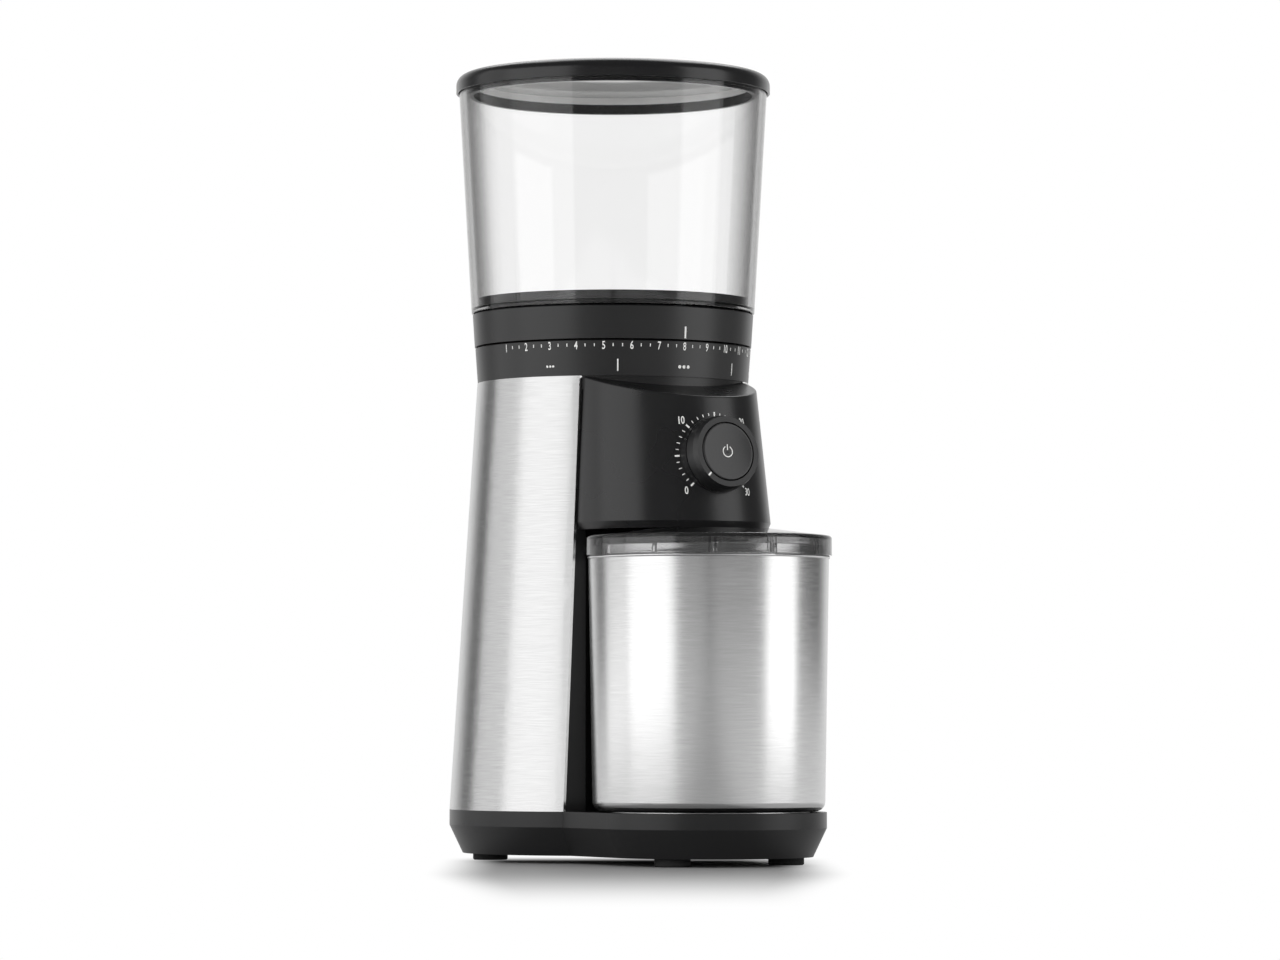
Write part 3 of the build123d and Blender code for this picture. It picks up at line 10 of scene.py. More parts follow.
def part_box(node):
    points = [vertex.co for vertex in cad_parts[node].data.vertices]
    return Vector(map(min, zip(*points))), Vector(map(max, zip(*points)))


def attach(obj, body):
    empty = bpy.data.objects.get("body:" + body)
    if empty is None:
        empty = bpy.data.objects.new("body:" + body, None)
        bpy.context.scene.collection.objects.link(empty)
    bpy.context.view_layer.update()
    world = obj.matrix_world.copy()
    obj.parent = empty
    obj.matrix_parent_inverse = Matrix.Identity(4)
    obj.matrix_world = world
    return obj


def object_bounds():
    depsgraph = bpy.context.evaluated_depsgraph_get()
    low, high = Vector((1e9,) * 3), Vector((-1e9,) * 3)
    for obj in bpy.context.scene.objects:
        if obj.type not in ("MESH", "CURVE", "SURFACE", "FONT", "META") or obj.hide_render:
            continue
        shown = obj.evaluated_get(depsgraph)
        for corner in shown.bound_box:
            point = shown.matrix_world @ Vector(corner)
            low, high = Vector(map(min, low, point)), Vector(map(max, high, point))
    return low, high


# Burr coffee grinder: materials, printed marks, the cup's steel collar, studio and camera.
# Lengths are in metres, in the frame of the model.
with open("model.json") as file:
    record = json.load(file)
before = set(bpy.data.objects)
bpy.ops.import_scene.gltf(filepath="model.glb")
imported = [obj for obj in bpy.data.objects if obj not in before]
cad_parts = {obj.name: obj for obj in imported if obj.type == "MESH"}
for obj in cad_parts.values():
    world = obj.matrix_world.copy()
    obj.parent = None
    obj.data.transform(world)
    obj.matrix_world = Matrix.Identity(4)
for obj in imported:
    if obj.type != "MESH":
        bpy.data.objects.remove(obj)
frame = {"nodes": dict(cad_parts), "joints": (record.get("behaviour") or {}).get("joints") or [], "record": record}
cad_low, cad_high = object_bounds()
nodes = frame["nodes"]
joints = {joint["name"]: joint for joint in frame["joints"]}
scene = bpy.context.scene

# Places read from the frame
burr_centre = Vector(joints["collar_turn"]["pos_m"])
axis_foot = Vector((burr_centre.x, burr_centre.y, 0))
knob_centre = Vector(joints["timer_turn"]["pos_m"])
knob_inward = Vector(joints["timer_turn"]["axis"])

# Camera, and the directions of its view over the floor
eye_azimuth = radians(-30.7)
eye_distance = 2.7
eye_height = 0.076
aim_right = 0.01427
aim_height = 0.20055
lens_length = 143.86
sensor_width = 36.0
eye_back = Vector((sin(eye_azimuth), -cos(eye_azimuth), 0))
eye_right = Vector((cos(eye_azimuth), sin(eye_azimuth), 0))

# Textures: cells a metre, depths, changes of roughness and shades of the base colour
tint_span = (0.3, 0.7)
plastic_grain = 2600.0
plastic_depth = 0.000006
plastic_patches = 24.0
plastic_gloss = 0.05
plastic_shades = (0.86, 1.14)
brushing_across = 80.0
brushing_along = 5600.0
brushing_depth = 0.0000012
brushing_gloss = (0.04, 0.05)
brushing_shades = (0.9, 1.06)
brushing_stretch = 0.7
metal_depth = 0.00001
metal_gloss = (0.08, 0.1)
metal_shades = (0.82, 1.1)

# Clear plastic: colour face on, darker edges and moulding ripples
clear_colour = (0.98, 0.98, 0.98)
clear_ior = 1.36
clear_edge_blend = 0.5
clear_edge_span = (0.4, 0.8)
clear_edge_shade = 0.16
ripple_cells = (60.0, 60.0, 14.0)
ripple_depth = 0.00002
ripple_gloss = 0.03

# Painted reflection under the hopper's lid, a pale polished disc: depth under the lid's top, turned-down edge,
# radius and look
painted_disc_depth = 0.005
painted_disc_lip = 0.0036
painted_disc_radius = 0.0742
painted_disc_margin = 0.0003
painted_reflection_colour = (0.88, 0.88, 0.87)
painted_disc_roughness = 0.05

# Printed plates: thickness, share of it sunk in the surface, start of the casting, and outlines
print_thickness = 0.00012
print_sunk = 0.5
cast_start = 0.05
weld_distance = 0.0000005
digit_cap_height = 0.7
digit_weight = 0.014
digit_narrowing = 0.66
digit_curve_steps = 4
arc_steps = 40
dot_steps = 24
disc_hole = 0.02

# Grind scale on the ring: sizes, and drops below the ring's top; the collar's index line above it
scale_numbers = 15
scale_step = radians(11.5)
scale_digit = 0.0041
scale_digit_drop = 0.0031
scale_tick = (0.00045, 0.0016)
scale_tick_drop = 0.0027
scale_divider = (0.0007, 0.0062)
scale_divider_drop = 0.0131
scale_divider_places = (5.5, 10.5)
zone_drop = 0.0135
zone_dots = ((3, 0.0006), (8, 0.0009), (13, 0.0012))
zone_dot_pitch = 2.9
collar_index = (0.0010, 0.0061)
collar_index_lift = 0.0043

# Seconds scale, the knob's index line and the button's symbol
dial_seconds = 30
dial_start = radians(225)
dial_sweep = radians(270)
dial_tick = (0.00042, 0.0015)
dial_tick_radius = 0.0214
dial_major = (0.0009, 0.0022)
dial_major_step = 5
dial_number_step = 10
dial_number_radius = 0.0258
dial_digit = 0.0039
knob_index = (0.0009, 0.0024)
knob_index_radius = 0.0168
symbol_radius = 0.0030
symbol_line = 0.0005
symbol_start = radians(120)
symbol_sweep = radians(300)
symbol_stem_rise = 0.75

# Steel collar inside the cup lid's skirt: insets from the skirt's outside and rises above the rim
collar_outline = (
    (0.0026, 0.0002),
    (0.0032, 0.0008),
    (0.0033, 0.0046),
    (0.0035, 0.0051),
    (0.0038, 0.0052),
    (0.0041, 0.0050),
    (0.0042, 0.0045),
    (0.0042, 0.0004),
)
collar_steps = 720
rib_pitch = radians(30)
rib_start = radians(1.4)
rib_half_width = 0.0013
rib_edge = 0.0006
rib_height = 0.0005
rib_inset = 0.0034

# Brightness of the surround and the floor, as light and in reflections
ambient_level = 0.36
room_mirrored = 0.1
backdrop_mirrored = 0.95
backdrop_span = (0.6, 0.95)
# Painted light and shade of the floor in reflections: dimmer in front, brighter at the sides
floor_mirrored = 0.28
side_floor_mirrored = 0.88

# Floor: grey paint, seen only in a painted shadow patch kept in front of the object, and the part painted dimmer
# in reflections
floor_half = 12.0
floor_colour = (0.4, 0.4, 0.4)
floor_roughness = 0.6
floor_specular = 0.2
shadow_right = 0.0125
shadow_side_span = (0.0675, 0.105)
shadow_front_span = (0.2, 0.68)
shadow_back_span = (-0.08, 0.02)
shadow_narrowing = 1.5
dimmed_side_span = (0.15, 0.5)
dimmed_back_span = (-0.3, 0.0)

# Soft boxes: azimuth and elevation in degrees, distance, width, height and power
soft_boxes = {
    "left_soft_box": (-88, 8, 1.7, 1.66, 1.9, 13.0),
    "left_back_soft_box": (-131, 8, 1.7, 0.95, 1.9, 4.3),
    "right_soft_box": (41, 8, 1.7, 1.1, 1.9, 9.6),
    "back_soft_box": (149, 60, 2.0, 1.7, 1.5, 24),
    "front_fill": (-31, 4, 3.0, 1.2, 1.2, 40),
}
not_mirrored = ("front_fill",)


def add_object(name, data):
    """New object in the scene."""
    made = bpy.data.objects.new(name, data)
    scene.collection.objects.link(made)
    return made


# Shader nodes
def combine(tree, operation, first, second):
    """Math node on two values, each a socket or a number."""
    step = tree.nodes.new("ShaderNodeMath")
    step.operation = operation
    for socket, value in zip(step.inputs, (first, second)):
        if isinstance(value, float):
            socket.default_value = value
        else:
            tree.links.new(value, socket)
    return step.outputs["Value"]


def combine_vector(tree, operation, vector, constant):
    """Outputs of a vector math node on a socket and a constant."""
    step = tree.nodes.new("ShaderNodeVectorMath")
    step.operation = operation
    step.inputs[1].default_value = constant
    tree.links.new(vector, step.inputs[0])
    return step.outputs


def eased(tree, value, span, results):
    """Smooth change from one result to another over a span of values."""
    step = tree.nodes.new("ShaderNodeMapRange")
    step.interpolation_type = "SMOOTHSTEP"
    step.inputs["From Min"].default_value = span[0]
    step.inputs["From Max"].default_value = span[1]
    step.inputs["To Min"].default_value = results[0]
    step.inputs["To Max"].default_value = results[1]
    tree.links.new(value, step.inputs["Value"])
    return step.outputs["Result"]


def light_path(tree):
    """Whether a ray was mirrored on its way, and whether it is a view, also through clear plastic."""
    path = tree.nodes.new("ShaderNodeLightPath").outputs
    mirrored = combine(tree, "MINIMUM", path["Glossy Depth"], 1.0)
    straight = combine(tree, "SUBTRACT", 1.0, mirrored)
    view = combine(tree, "MAXIMUM", path["Is Camera Ray"], path["Is Transmission Ray"])
    return mirrored, combine(tree, "MULTIPLY", view, straight)


# Materials
def shader(name, colour, roughness, **constants):
    """Principled material with its constants on the shader's own sockets."""
    material = bpy.data.materials.new(name)
    material.use_nodes = True
    bsdf = material.node_tree.nodes["Principled BSDF"]
    bsdf.inputs["Base Color"].default_value = (*colour, 1)
    bsdf.inputs["Roughness"].default_value = roughness
    for socket, value in constants.items():
        bsdf.inputs[socket.replace("_", " ")].default_value = value
    return material


def noise(material, scale, detail):
    """Noise texture in the model's own metres, scaled along X, Y and Z."""
    tree = material.node_tree
    place = tree.nodes.new("ShaderNodeTexCoord")
    stretch = tree.nodes.new("ShaderNodeMapping")
    stretch.inputs["Scale"].default_value = scale
    texture = tree.nodes.new("ShaderNodeTexNoise")
    texture.inputs["Scale"].default_value = 1.0
    texture.inputs["Detail"].default_value = detail
    tree.links.new(place.outputs["Object"], stretch.inputs["Vector"])
    tree.links.new(stretch.outputs["Vector"], texture.inputs["Vector"])
    return texture.outputs["Fac"]


def vary_roughness(material, factor, low, high):
    """Changes the roughness between two values by a texture."""
    tree = material.node_tree
    span = tree.nodes.new("ShaderNodeMapRange")
    span.inputs["To Min"].default_value = low
    span.inputs["To Max"].default_value = high
    tree.links.new(factor, span.inputs["Value"])
    tree.links.new(span.outputs["Result"], tree.nodes["Principled BSDF"].inputs["Roughness"])


def ramp_colour(material, factor, span, colours):
    """Changes the base colour from one colour to another over a span of a factor."""
    tree = material.node_tree
    ramp = tree.nodes.new("ShaderNodeValToRGB")
    for element, position, colour in zip(ramp.color_ramp.elements, span, colours):
        element.position = position
        element.color = (*colour, 1)
    tree.links.new(factor, ramp.inputs["Fac"])
    tree.links.new(ramp.outputs["Color"], tree.nodes["Principled BSDF"].inputs["Base Color"])


def shade(colour, factor):
    """Darker or lighter colour."""
    return tuple(part * factor for part in colour)


def vary_colour(material, factor, colour, shades):
    """Changes the base colour between two shades of it by a texture."""
    ramp_colour(material, factor, tint_span, [shade(colour, level) for level in shades])


def relief(material, factor, depth):
    """Raises the surface by a texture."""
    tree = material.node_tree
    bump = tree.nodes.new("ShaderNodeBump")
    bump.inputs["Strength"].default_value = 1.0
    bump.inputs["Distance"].default_value = depth
    tree.links.new(factor, bump.inputs["Height"])
    tree.links.new(bump.outputs["Normal"], tree.nodes["Principled BSDF"].inputs["Normal"])


def moulded(name, colour, roughness, grain=plastic_grain, depth=plastic_depth):
    """Moulded plastic or rubber: a fine spark-eroded grain and slow changes of gloss."""
    material = shader(name, colour, roughness)
    fine = noise(material, (grain, grain, grain), detail=3.0)
    slow = noise(material, (plastic_patches, plastic_patches, plastic_patches), detail=2.0)
    relief(material, fine, depth)
    vary_roughness(material, slow, roughness - plastic_gloss, roughness + plastic_gloss)
    vary_colour(material, fine, colour, plastic_shades)
    return material


def lined_below(name, colour, roughness):
    """Satin plastic of the hopper's lid, with a polished disc on its underside whose pale colour is a painted
    reflection.
    """
    material = shader(name, colour, roughness)
    tree = material.node_tree
    place = tree.nodes.new("ShaderNodeTexCoord").outputs["Object"]
    flat = combine_vector(tree, "MULTIPLY", place, (1, 1, 0))["Vector"]
    from_axis = combine_vector(tree, "DISTANCE", flat, axis_foot)["Value"]
    split = tree.nodes.new("ShaderNodeSeparateXYZ")
    tree.links.new(place, split.inputs["Vector"])
    height = split.outputs["Z"]
    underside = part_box("hopper_lid")[1].z - painted_disc_depth
    above = combine(tree, "GREATER_THAN", height, underside - painted_disc_lip)
    below = combine(tree, "LESS_THAN", height, underside + painted_disc_margin)
    within = combine(tree, "LESS_THAN", from_axis, painted_disc_radius)
    painted_disc = combine(tree, "MULTIPLY", combine(tree, "MULTIPLY", above, below), within)
    vary_roughness(material, painted_disc, roughness, painted_disc_roughness)
    fine = noise(material, (plastic_grain, plastic_grain, plastic_grain), detail=3.0)
    vary_colour(material, fine, colour, plastic_shades)
    bsdf = tree.nodes["Principled BSDF"]
    shell = bsdf.inputs["Base Color"].links[0].from_socket
    # Painted reflection: pale colour mixed into the base colour on the polished disc of the underside
    paint = tree.nodes.new("ShaderNodeMix")
    paint.data_type = "RGBA"
    paint.inputs["B"].default_value = (*painted_reflection_colour, 1)
    tree.links.new(painted_disc, paint.inputs["Factor"])
    tree.links.new(shell, paint.inputs["A"])
    tree.links.new(paint.outputs["Result"], bsdf.inputs["Base Color"])
    return material


def brushed(name, colour, roughness):
    """Sheet steel with fine level brushing lines."""
    material = shader(name, colour, roughness, Metallic=1.0, Anisotropic=brushing_stretch)
    lines = noise(material, (brushing_across, brushing_across, brushing_along), detail=3.0)
    relief(material, lines, brushing_depth)
    smoother, rougher = brushing_gloss
    vary_roughness(material, lines, roughness - smoother, roughness + rougher)
    vary_colour(material, lines, colour, brushing_shades)
    tree = material.node_tree
    tangent = tree.nodes.new("ShaderNodeTangent")
    tangent.direction_type = "RADIAL"
    tangent.axis = "Z"
    tree.links.new(tangent.outputs["Tangent"], tree.nodes["Principled BSDF"].inputs["Tangent"])
    return material


def worked(name, colour, roughness, cells):
    """Machined, cast or plated metal with a fine uneven surface."""
    material = shader(name, colour, roughness, Metallic=1.0)
    grain = noise(material, (cells, cells, cells), detail=4.0)
    relief(material, grain, metal_depth)
    smoother, rougher = metal_gloss
    vary_roughness(material, grain, roughness - smoother, roughness + rougher)
    vary_colour(material, grain, colour, metal_shades)
    return material


def clear(name, colour, density, roughness, through=1.0):
    """Clear plastic, smoked through its thickness, with faint moulding ripples."""
    material = shader(name, clear_colour, roughness, Transmission_Weight=through, IOR=clear_ior)
    tree = material.node_tree
    smoke = tree.nodes.new("ShaderNodeVolumeAbsorption")
    smoke.inputs["Color"].default_value = (*colour, 1)
    smoke.inputs["Density"].default_value = density
    tree.links.new(smoke.outputs["Volume"], tree.nodes["Material Output"].inputs["Volume"])
    rim = tree.nodes.new("ShaderNodeLayerWeight")
    rim.inputs["Blend"].default_value = clear_edge_blend
    edge_colours = (clear_colour, shade(colour, clear_edge_shade))
    ramp_colour(material, rim.outputs["Facing"], clear_edge_span, edge_colours)
    ripple = noise(material, ripple_cells, detail=1.0)
    relief(material, ripple, ripple_depth)
    vary_roughness(material, ripple, roughness, roughness + ripple_gloss)
    return material


slot_materials = {
    "black_plastic": moulded("satin_black_plastic", (0.007, 0.007, 0.0073), 0.32),
    "brushed_steel": brushed("brushed_steel", (0.65, 0.65, 0.65), 0.19),
    "smoke_clear": clear("smoked_clear_plastic", (0.5, 0.49, 0.48), 9.0, 0.015),
    "rubber": moulded("black_rubber", (0.018, 0.018, 0.018), 0.75, grain=1400.0, depth=0.00002),
    "burr_steel": worked("ground_burr_steel", (0.42, 0.42, 0.43), 0.34, 1800.0),
    "screw_steel": worked("plated_screw_steel", (0.55, 0.55, 0.54), 0.3, 2600.0),
    "nylon": moulded("white_nylon", (0.72, 0.71, 0.66), 0.45, grain=1600.0),
    "aluminium": worked("die_cast_aluminium", (0.62, 0.62, 0.63), 0.45, 1500.0),
    "motor_metal": worked("zinc_plated_motor_steel", (0.48, 0.48, 0.47), 0.36, 900.0),
    "magnet": worked("sintered_magnet", (0.09, 0.09, 0.09), 0.6, 2200.0),
    "brass": worked("cut_brass", (0.72, 0.52, 0.2), 0.3, 2400.0),
    "board": moulded("green_circuit_board", (0.03, 0.16, 0.06), 0.35, grain=1200.0),
    "switch_plastic": moulded("grey_switch_plastic", (0.06, 0.06, 0.065), 0.45),
}
node_materials = {
    # Hopper lid with a painted reflection on its underside
    "hopper_lid": lined_below("lid_black_plastic", (0.011, 0.011, 0.0115), 0.24),
    "head_housing": moulded("head_black_plastic", (0.0115, 0.0115, 0.012), 0.28, depth=0.000004),
    "core_housing": moulded("bay_black_plastic", (0.006, 0.006, 0.0062), 0.5),
    "base_tray": moulded("base_black_plastic", (0.0105, 0.0105, 0.011), 0.34),
    "hopper_funnel": moulded("funnel_black_plastic", (0.007, 0.007, 0.0073), 0.34, depth=0.000002),
    "start_button": moulded("button_black_plastic", (0.024, 0.024, 0.0245), 0.25),
    "timer_knob": moulded("knob_black_plastic", (0.014, 0.014, 0.0145), 0.36),
    "cup_lid": clear("smoked_lid_plastic", (0.3, 0.3, 0.305), 130.0, 0.03, through=0.98),
}
print_white = moulded("white_print", (0.88, 0.88, 0.86), 0.5, grain=3000.0, depth=0.000004)

for part in frame["record"]["subparts"]:
    node = nodes[part["node"]]
    material = node_materials.get(part["node"], slot_materials[part["material_slot"]])
    node.data.materials.clear()
    node.data.materials.append(material)


# Printed marks, each a plate one unit thick, drawn flat and then laid thin on its surface
def flat_bar(width, height, turn=0.0, at=(0.0, 0.0)):
    """Corners and faces of an upright bar, turned about its centre."""
    corners = []
    for depth in (0.0, 1.0):
        for x, y in ((-1, -1), (1, -1), (1, 1), (-1, 1)):
            across = x * width / 2
            along = y * height / 2
            corners.append((
                at[0] + across * cos(turn) - along * sin(turn),
                at[1] + across * sin(turn) + along * cos(turn),
                depth,
            ))
    faces = [(3, 2, 1, 0), (4, 5, 6, 7), (0, 1, 5, 4), (1, 2, 6, 5), (2, 3, 7, 6), (3, 0, 4, 7)]
    return corners, faces


def flat_ring(radius, line, start, sweep, steps):
    """Corners and faces of a flat arc, or of a disc where the line is as wide as the radius."""
    inner = max(radius - line, radius * disc_hole)
    corners = []
    for depth in (0.0, 1.0):
        for step in range(steps + 1):
            turn = start + sweep * step / steps
            for reach in (inner, radius):
                corners.append((reach * cos(turn), reach * sin(turn), depth))
    layer = 2 * (steps + 1)
    faces = []
    for step in range(steps):
        a, b, c, d = 2 * step, 2 * step + 1, 2 * step + 3, 2 * step + 2
        faces.append((d, c, b, a))
        faces.append((a + layer, b + layer, c + layer, d + layer))
        faces.append((b, c, c + layer, b + layer))
        faces.append((d, a, a + layer, d + layer))
    if sweep < 2 * pi:
        last = 2 * steps
        faces.append((0, 1, 1 + layer, layer))
        faces.append((last + 1, last, last + layer, last + 1 + layer))
    return corners, faces


def flat_text(text, height):
    """Corners and faces of a number, centred."""
    curve = bpy.data.curves.new("number", "FONT")
    curve.body = text
    curve.size = height / digit_cap_height
    curve.align_x = "CENTER"
    curve.align_y = "CENTER"
    curve.extrude = 0.5
    curve.offset = height * digit_weight
    curve.resolution_u = digit_curve_steps
    holder = add_object("number", curve)
    bpy.context.view_layer.update()
    drawn = holder.evaluated_get(bpy.context.evaluated_depsgraph_get())
    mesh = bpy.data.meshes.new_from_object(drawn)
    corners = []
    for point in mesh.vertices:
        corners.append((point.co.x * digit_narrowing, point.co.y, point.co.z + curve.extrude))
    faces = [tuple(face.vertices) for face in mesh.polygons]
    bpy.data.objects.remove(holder)
    bpy.data.curves.remove(curve)
    bpy.data.meshes.remove(mesh)
    return corners, faces


class Marks:
    """Gathers flat plates, laid on a surface by a placing function, into one piece."""

    def __init__(self):
        self.corners = []
        self.faces = []

    def lay(self, plate, place):
        corners, faces = plate
        start = len(self.corners)
        self.corners += [place(*corner) for corner in corners]
        self.faces += [tuple(start + index for index in face) for face in faces]

    def piece(self, name, body):
        mesh = bpy.data.meshes.new(name)
        mesh.from_pydata(self.corners, [], self.faces)
        solid = bmesh.new()
        solid.from_mesh(mesh)
        bmesh.ops.remove_doubles(solid, verts=solid.verts, dist=weld_distance)
        bmesh.ops.dissolve_degenerate(solid, edges=solid.edges, dist=weld_distance)
        bmesh.ops.recalc_face_normals(solid, faces=solid.faces)
        solid.to_mesh(mesh)
        solid.free()
        mesh.materials.append(print_white)
        made = add_object(name, mesh)
        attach(made, body)


def surface(name):
    """Faces of a node, for casting onto."""
    mesh = nodes[name].data
    corners = [point.co for point in mesh.vertices]
    faces = [tuple(face.vertices) for face in mesh.polygons]
    return BVHTree.FromPolygons(corners, faces)


def on_ring(tree, radius, turn, height):
    """Places a flat plate on the outside of an upright ring, turned from the front."""
    def place(x, y, depth):
        angle = turn + x / radius
        outward = Vector((sin(angle), -cos(angle), 0))
        start = Vector((burr_centre.x, burr_centre.y, height + y)) + outward * 2 * radius
        hit = tree.ray_cast(start, -outward)[0]
        return tuple(hit + outward * (depth - print_sunk) * print_thickness)
    return place


def on_node(name):
    """Places a flat plate on a node by casting from in front along the knob's axis."""
    tree = surface(name)
    right = Vector((1, 0, 0))
    up = right.cross(knob_inward)

    def place(x, y, depth):
        start = knob_centre + right * x + up * y - knob_inward * cast_start
        hit = tree.ray_cast(start, knob_inward)[0]
        return tuple(hit - knob_inward * (depth - print_sunk) * print_thickness)
    return place


def shifted(place, x, y):
    """Places a flat plate to one side of another placing function's middle."""
    return lambda across, along, depth: place(across + x, along + y, depth)


# Grind scale on the fixed ring
ring_low, ring_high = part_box("scale_ring")
ring_radius = (ring_high.x - ring_low.x) / 2
ring_surface = surface("scale_ring")


def on_scale(number, drop):
    """Places a flat plate at a number of the grind scale, below the ring's top."""
    turn = (number - (scale_numbers + 1) / 2) * scale_step
    return on_ring(ring_surface, ring_radius, turn, ring_high.z - drop)


scale_marks = Marks()
for number in range(1, scale_numbers + 1):
    scale_marks.lay(flat_text(str(number), scale_digit), on_scale(number, scale_digit_drop))
    if number < scale_numbers:
        for third in (1, 2):
            scale_marks.lay(flat_bar(*scale_tick), on_scale(number + third / 3, scale_tick_drop))
for number in scale_divider_places:
    scale_marks.lay(flat_bar(*scale_divider), on_scale(number, scale_divider_drop))
for number, dot in zone_dots:
    for step in (-1, 0, 1):
        place = shifted(on_scale(number, zone_drop), step * zone_dot_pitch * dot, 0)
        scale_marks.lay(flat_ring(dot, dot, 0, 2 * pi, dot_steps), place)
scale_marks.piece("scale_marks", "housing")

# Index line on the adjusting collar
collar_low, collar_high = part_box("adjust_collar")
collar_radius = (collar_high.x - collar_low.x) / 2
collar_marks = Marks()
index_height = ring_high.z + collar_index_lift
collar_place = on_ring(surface("adjust_collar"), collar_radius, 0, index_height)
collar_marks.lay(flat_bar(*collar_index), collar_place)
collar_marks.piece("collar_index", "collar")


# Seconds scale round the timer knob
def round_dial(radius, turn):
    """Point at a radius and a turn about the knob's axis."""
    return radius * cos(turn), radius * sin(turn)


dial_marks = Marks()
dial_place = on_node("head_housing")
for second in range(dial_seconds + 1):
    turn = dial_start - dial_sweep * second / dial_seconds
    bar = dial_tick if second % dial_major_step else dial_major
    centre = round_dial(dial_tick_radius, turn)
    dial_marks.lay(flat_bar(*bar, turn - pi / 2, centre), dial_place)
    if second % dial_number_step == 0:
        place = shifted(dial_place, *round_dial(dial_number_radius, turn))
        dial_marks.lay(flat_text(str(second), dial_digit), place)
dial_marks.piece("dial_marks", "housing")

# Index line on the knob's face
knob_marks = Marks()
centre = round_dial(knob_index_radius, dial_start)
knob_marks.lay(flat_bar(*knob_index, dial_start - pi / 2, centre), on_node("timer_knob"))
knob_marks.piece("knob_index", "knob")

# Plain start symbol on the button
symbol = Marks()
button_place = on_node("start_button")
symbol_arc = flat_ring(symbol_radius, symbol_line, symbol_start, symbol_sweep, arc_steps)
symbol_stem = flat_bar(symbol_line, symbol_radius)
symbol.lay(symbol_arc, button_place)
symbol.lay(symbol_stem, shifted(button_place, 0, symbol_radius * symbol_stem_rise))
symbol.piece("start_symbol", "button")

# Ribbed steel collar of the cup, seen through the skirt of its lid
cup_low, cup_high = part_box("grounds_cup")
lid_low, lid_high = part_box("cup_lid")
cup_centre = (cup_low + cup_high) / 2
skirt_outside = (lid_high.x - lid_low.x) / 2


def rib_rise(turn):
    """Height of the collar's ribs at a turn about the cup's axis."""
    off_rib = abs((turn - rib_start + rib_pitch / 2) % rib_pitch - rib_pitch / 2) * skirt_outside
    return rib_height * min(max((rib_half_width - off_rib) / rib_edge, 0), 1)


collar_profile = []
for inset, rise in collar_outline:
    collar_profile.append((skirt_outside - inset, cup_high.z + rise))
collar_foot = collar_profile[0][1]
collar_corners = []
for step in range(collar_steps):
    turn = 2 * pi * step / collar_steps
    for reach, height in collar_profile:
        if reach > skirt_outside - rib_inset and height > collar_foot:
            reach += rib_rise(turn)
        x = cup_centre.x + reach * cos(turn)
        y = cup_centre.y + reach * sin(turn)
        collar_corners.append((x, y, height))
collar_faces = []
profile_size = len(collar_profile)
for step in range(collar_steps):
    here = step * profile_size
    there = (step + 1) % collar_steps * profile_size
    for index in range(profile_size):
        after = (index + 1) % profile_size
        collar_faces.append((here + index, there + index, there + after, here + after))
collar_mesh = bpy.data.meshes.new("cup_collar")
collar_mesh.from_pydata(collar_corners, [], collar_faces)
collar_mesh.materials.append(slot_materials["brushed_steel"])
collar_mesh.shade_smooth()
cup_collar = add_object("cup_collar", collar_mesh)
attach(cup_collar, "cup")

# Studio: a white surround, dimmer as light and in reflections than when looked at
world = bpy.data.worlds.new("studio")
scene.world = world
world.use_nodes = True
world_tree = world.node_tree
surround = world_tree.nodes["Background"]
surround.inputs["Color"].default_value = (1, 1, 1, 1)
world_place = world_tree.nodes.new("ShaderNodeTexCoord").outputs["Generated"]
behind = combine_vector(world_tree, "DOT_PRODUCT", world_place, -eye_back)["Value"]
backdrop = eased(world_tree, behind, backdrop_span, (room_mirrored, backdrop_mirrored))
mirrored, looked_at = light_path(world_tree)
shaded = world_tree.nodes.new("ShaderNodeMix")
shaded.inputs["A"].default_value = ambient_level
world_tree.links.new(mirrored, shaded.inputs["Factor"])
world_tree.links.new(backdrop, shaded.inputs["B"])
level = combine(world_tree, "MAXIMUM", shaded.outputs["Result"], looked_at)
world_tree.links.new(level, surround.inputs["Strength"])

# Floor that turns white away from a painted shadow patch, where the grey paint shows with the lamps' real shadow
# on it
floor_mesh = bpy.data.meshes.new("floor")
corners = [(x * floor_half, y * floor_half, 0) for x, y in ((-1, -1), (1, -1), (1, 1), (-1, 1))]
floor_mesh.from_pydata(corners, [], [(0, 1, 2, 3)])
floor = add_object("floor", floor_mesh)
floor_paint = shader("floor_paint", floor_colour, floor_roughness, Specular_IOR_Level=floor_specular)
floor_mesh.materials.append(floor_paint)
floor_tree = floor_paint.node_tree
floor_place = floor_tree.nodes.new("ShaderNodeTexCoord").outputs["Object"]


def floor_reach(direction, start=0.0):
    """Distance over the floor along a direction, from the foot of the burr axis and a start."""
    along = combine_vector(floor_tree, "DOT_PRODUCT", floor_place, direction)["Value"]
    return combine(floor_tree, "SUBTRACT", along, axis_foot.dot(direction) + start)


def floor_product(first, second):
    """Product of two values on the floor."""
    return combine(floor_tree, "MULTIPLY", first, second)


ahead_reach = floor_reach(eye_back)
right_reach = floor_reach(eye_right, shadow_right)
side_reach = combine(floor_tree, "MAXIMUM", right_reach, floor_product(right_reach, -1.0))

# The painted shadow patch narrows and fades towards the camera
narrowing = eased(floor_tree, ahead_reach, shadow_front_span, (1.0, shadow_narrowing))
narrowed_reach = floor_product(side_reach, narrowing)
shadow_across = eased(floor_tree, narrowed_reach, shadow_side_span, (1.0, 0.0))
shadow_front = eased(floor_tree, ahead_reach, shadow_front_span, (1.0, 0.0))
shadow_back = eased(floor_tree, ahead_reach, shadow_back_span, (0.0, 1.0))
# Painted shadow: mask of the patch where the grey paint shows instead of the white glow
shadow = floor_product(shadow_across, floor_product(shadow_front, shadow_back))
unshadowed = combine(floor_tree, "SUBTRACT", 1.0, shadow)
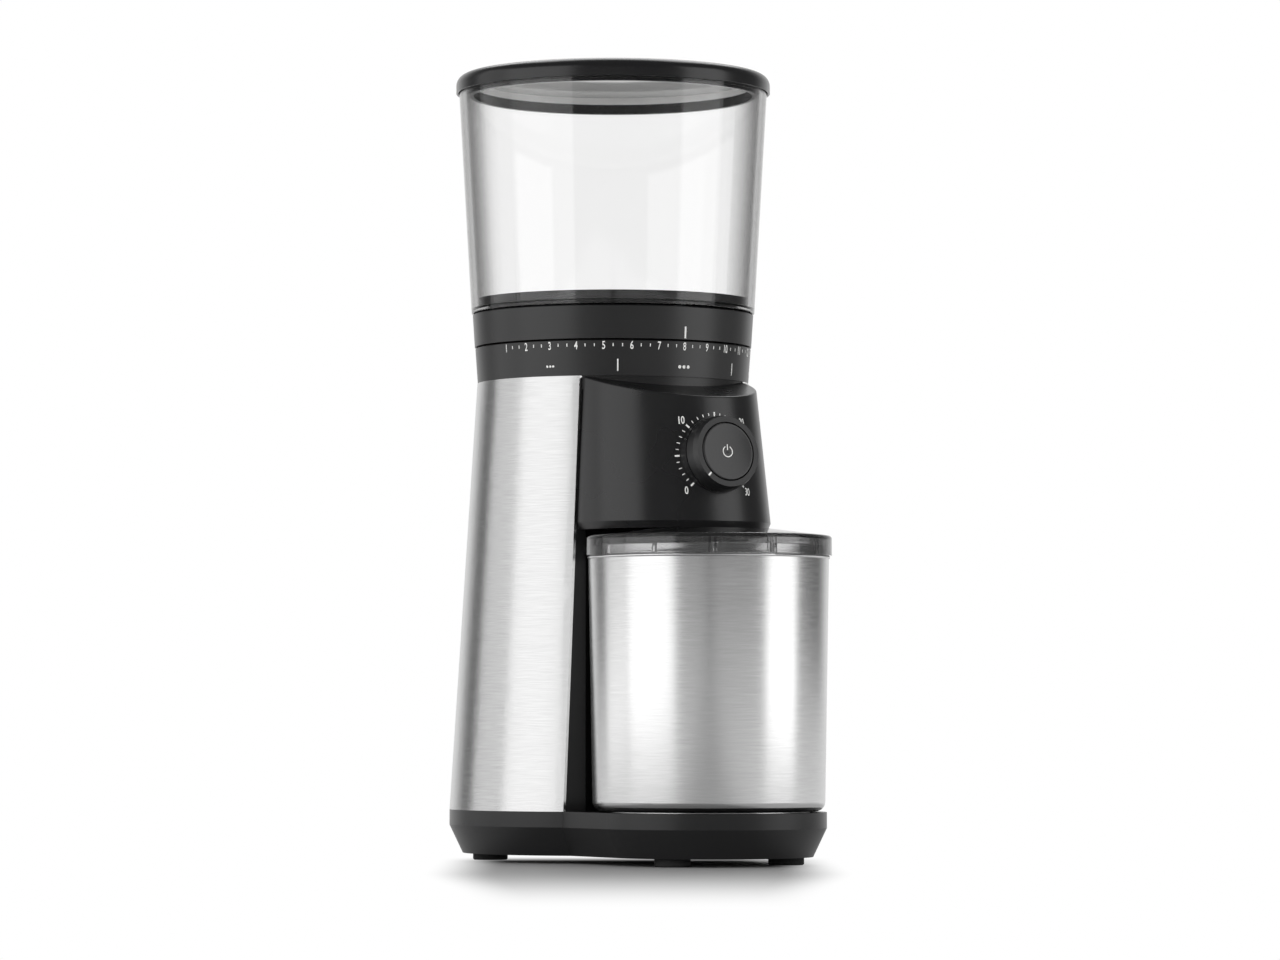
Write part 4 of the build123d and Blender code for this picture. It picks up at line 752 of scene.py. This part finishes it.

# Painted light and shade: the floor's glow in reflections is painted dimmer in front than at the sides, towards
# the lamps
dimmed_across = eased(floor_tree, side_reach, dimmed_side_span, (1.0, 0.0))
dimmed_back = eased(floor_tree, ahead_reach, dimmed_back_span, (0.0, 1.0))
ahead = floor_product(dimmed_across, dimmed_back)
dimmed = floor_product(ahead, side_floor_mirrored - floor_mirrored)
mirrored_level = combine(floor_tree, "SUBTRACT", side_floor_mirrored, dimmed)

mirrored, looked_at = light_path(floor_tree)
mirrored_floor = floor_product(mirrored, mirrored_level)
floor_seen = combine(floor_tree, "MAXIMUM", looked_at, mirrored_floor)
floor_white = floor_product(unshadowed, floor_seen)
floor_glow = floor_tree.nodes.new("ShaderNodeEmission")
floor_mix = floor_tree.nodes.new("ShaderNodeMixShader")
floor_tree.links.new(floor_white, floor_mix.inputs["Fac"])
floor_tree.links.new(floor_tree.nodes["Principled BSDF"].outputs["BSDF"], floor_mix.inputs[1])
floor_tree.links.new(floor_glow.outputs["Emission"], floor_mix.inputs[2])
floor_output = floor_tree.nodes["Material Output"]
floor_tree.links.new(floor_mix.outputs["Shader"], floor_output.inputs["Surface"])


def facing(place, away):
    """Matrix of a lamp or camera at a place, looking against a direction."""
    return Matrix.Translation(place) @ away.to_track_quat("Z", "Y").to_matrix().to_4x4()


# Soft boxes that face the middle of the object
middle = (cad_low + cad_high) / 2
for name, (azimuth, elevation, distance, width, height, power) in soft_boxes.items():
    lamp = bpy.data.lights.new(name, "AREA")
    lamp.shape = "RECTANGLE"
    lamp.size = width
    lamp.size_y = height
    lamp.energy = power
    turn = radians(azimuth)
    rise = radians(elevation)
    away = Vector((sin(turn) * cos(rise), -cos(turn) * cos(rise), sin(rise)))
    holder = add_object(name, lamp)
    holder.matrix_world = facing(middle + away * distance, away)
    if name in not_mirrored:
        holder.visible_glossy = False
        holder.visible_transmission = False

# Camera at the photograph's viewing angle
eye = axis_foot + eye_back * eye_distance + Vector((0, 0, eye_height))
aim = axis_foot + eye_right * aim_right + Vector((0, 0, aim_height))
lens = bpy.data.cameras.new("camera")
lens.lens = lens_length
lens.sensor_width = sensor_width
camera = add_object("camera", lens)
camera.matrix_world = facing(eye, eye - aim)
scene.camera = camera
scene.view_settings.view_transform = "Standard"
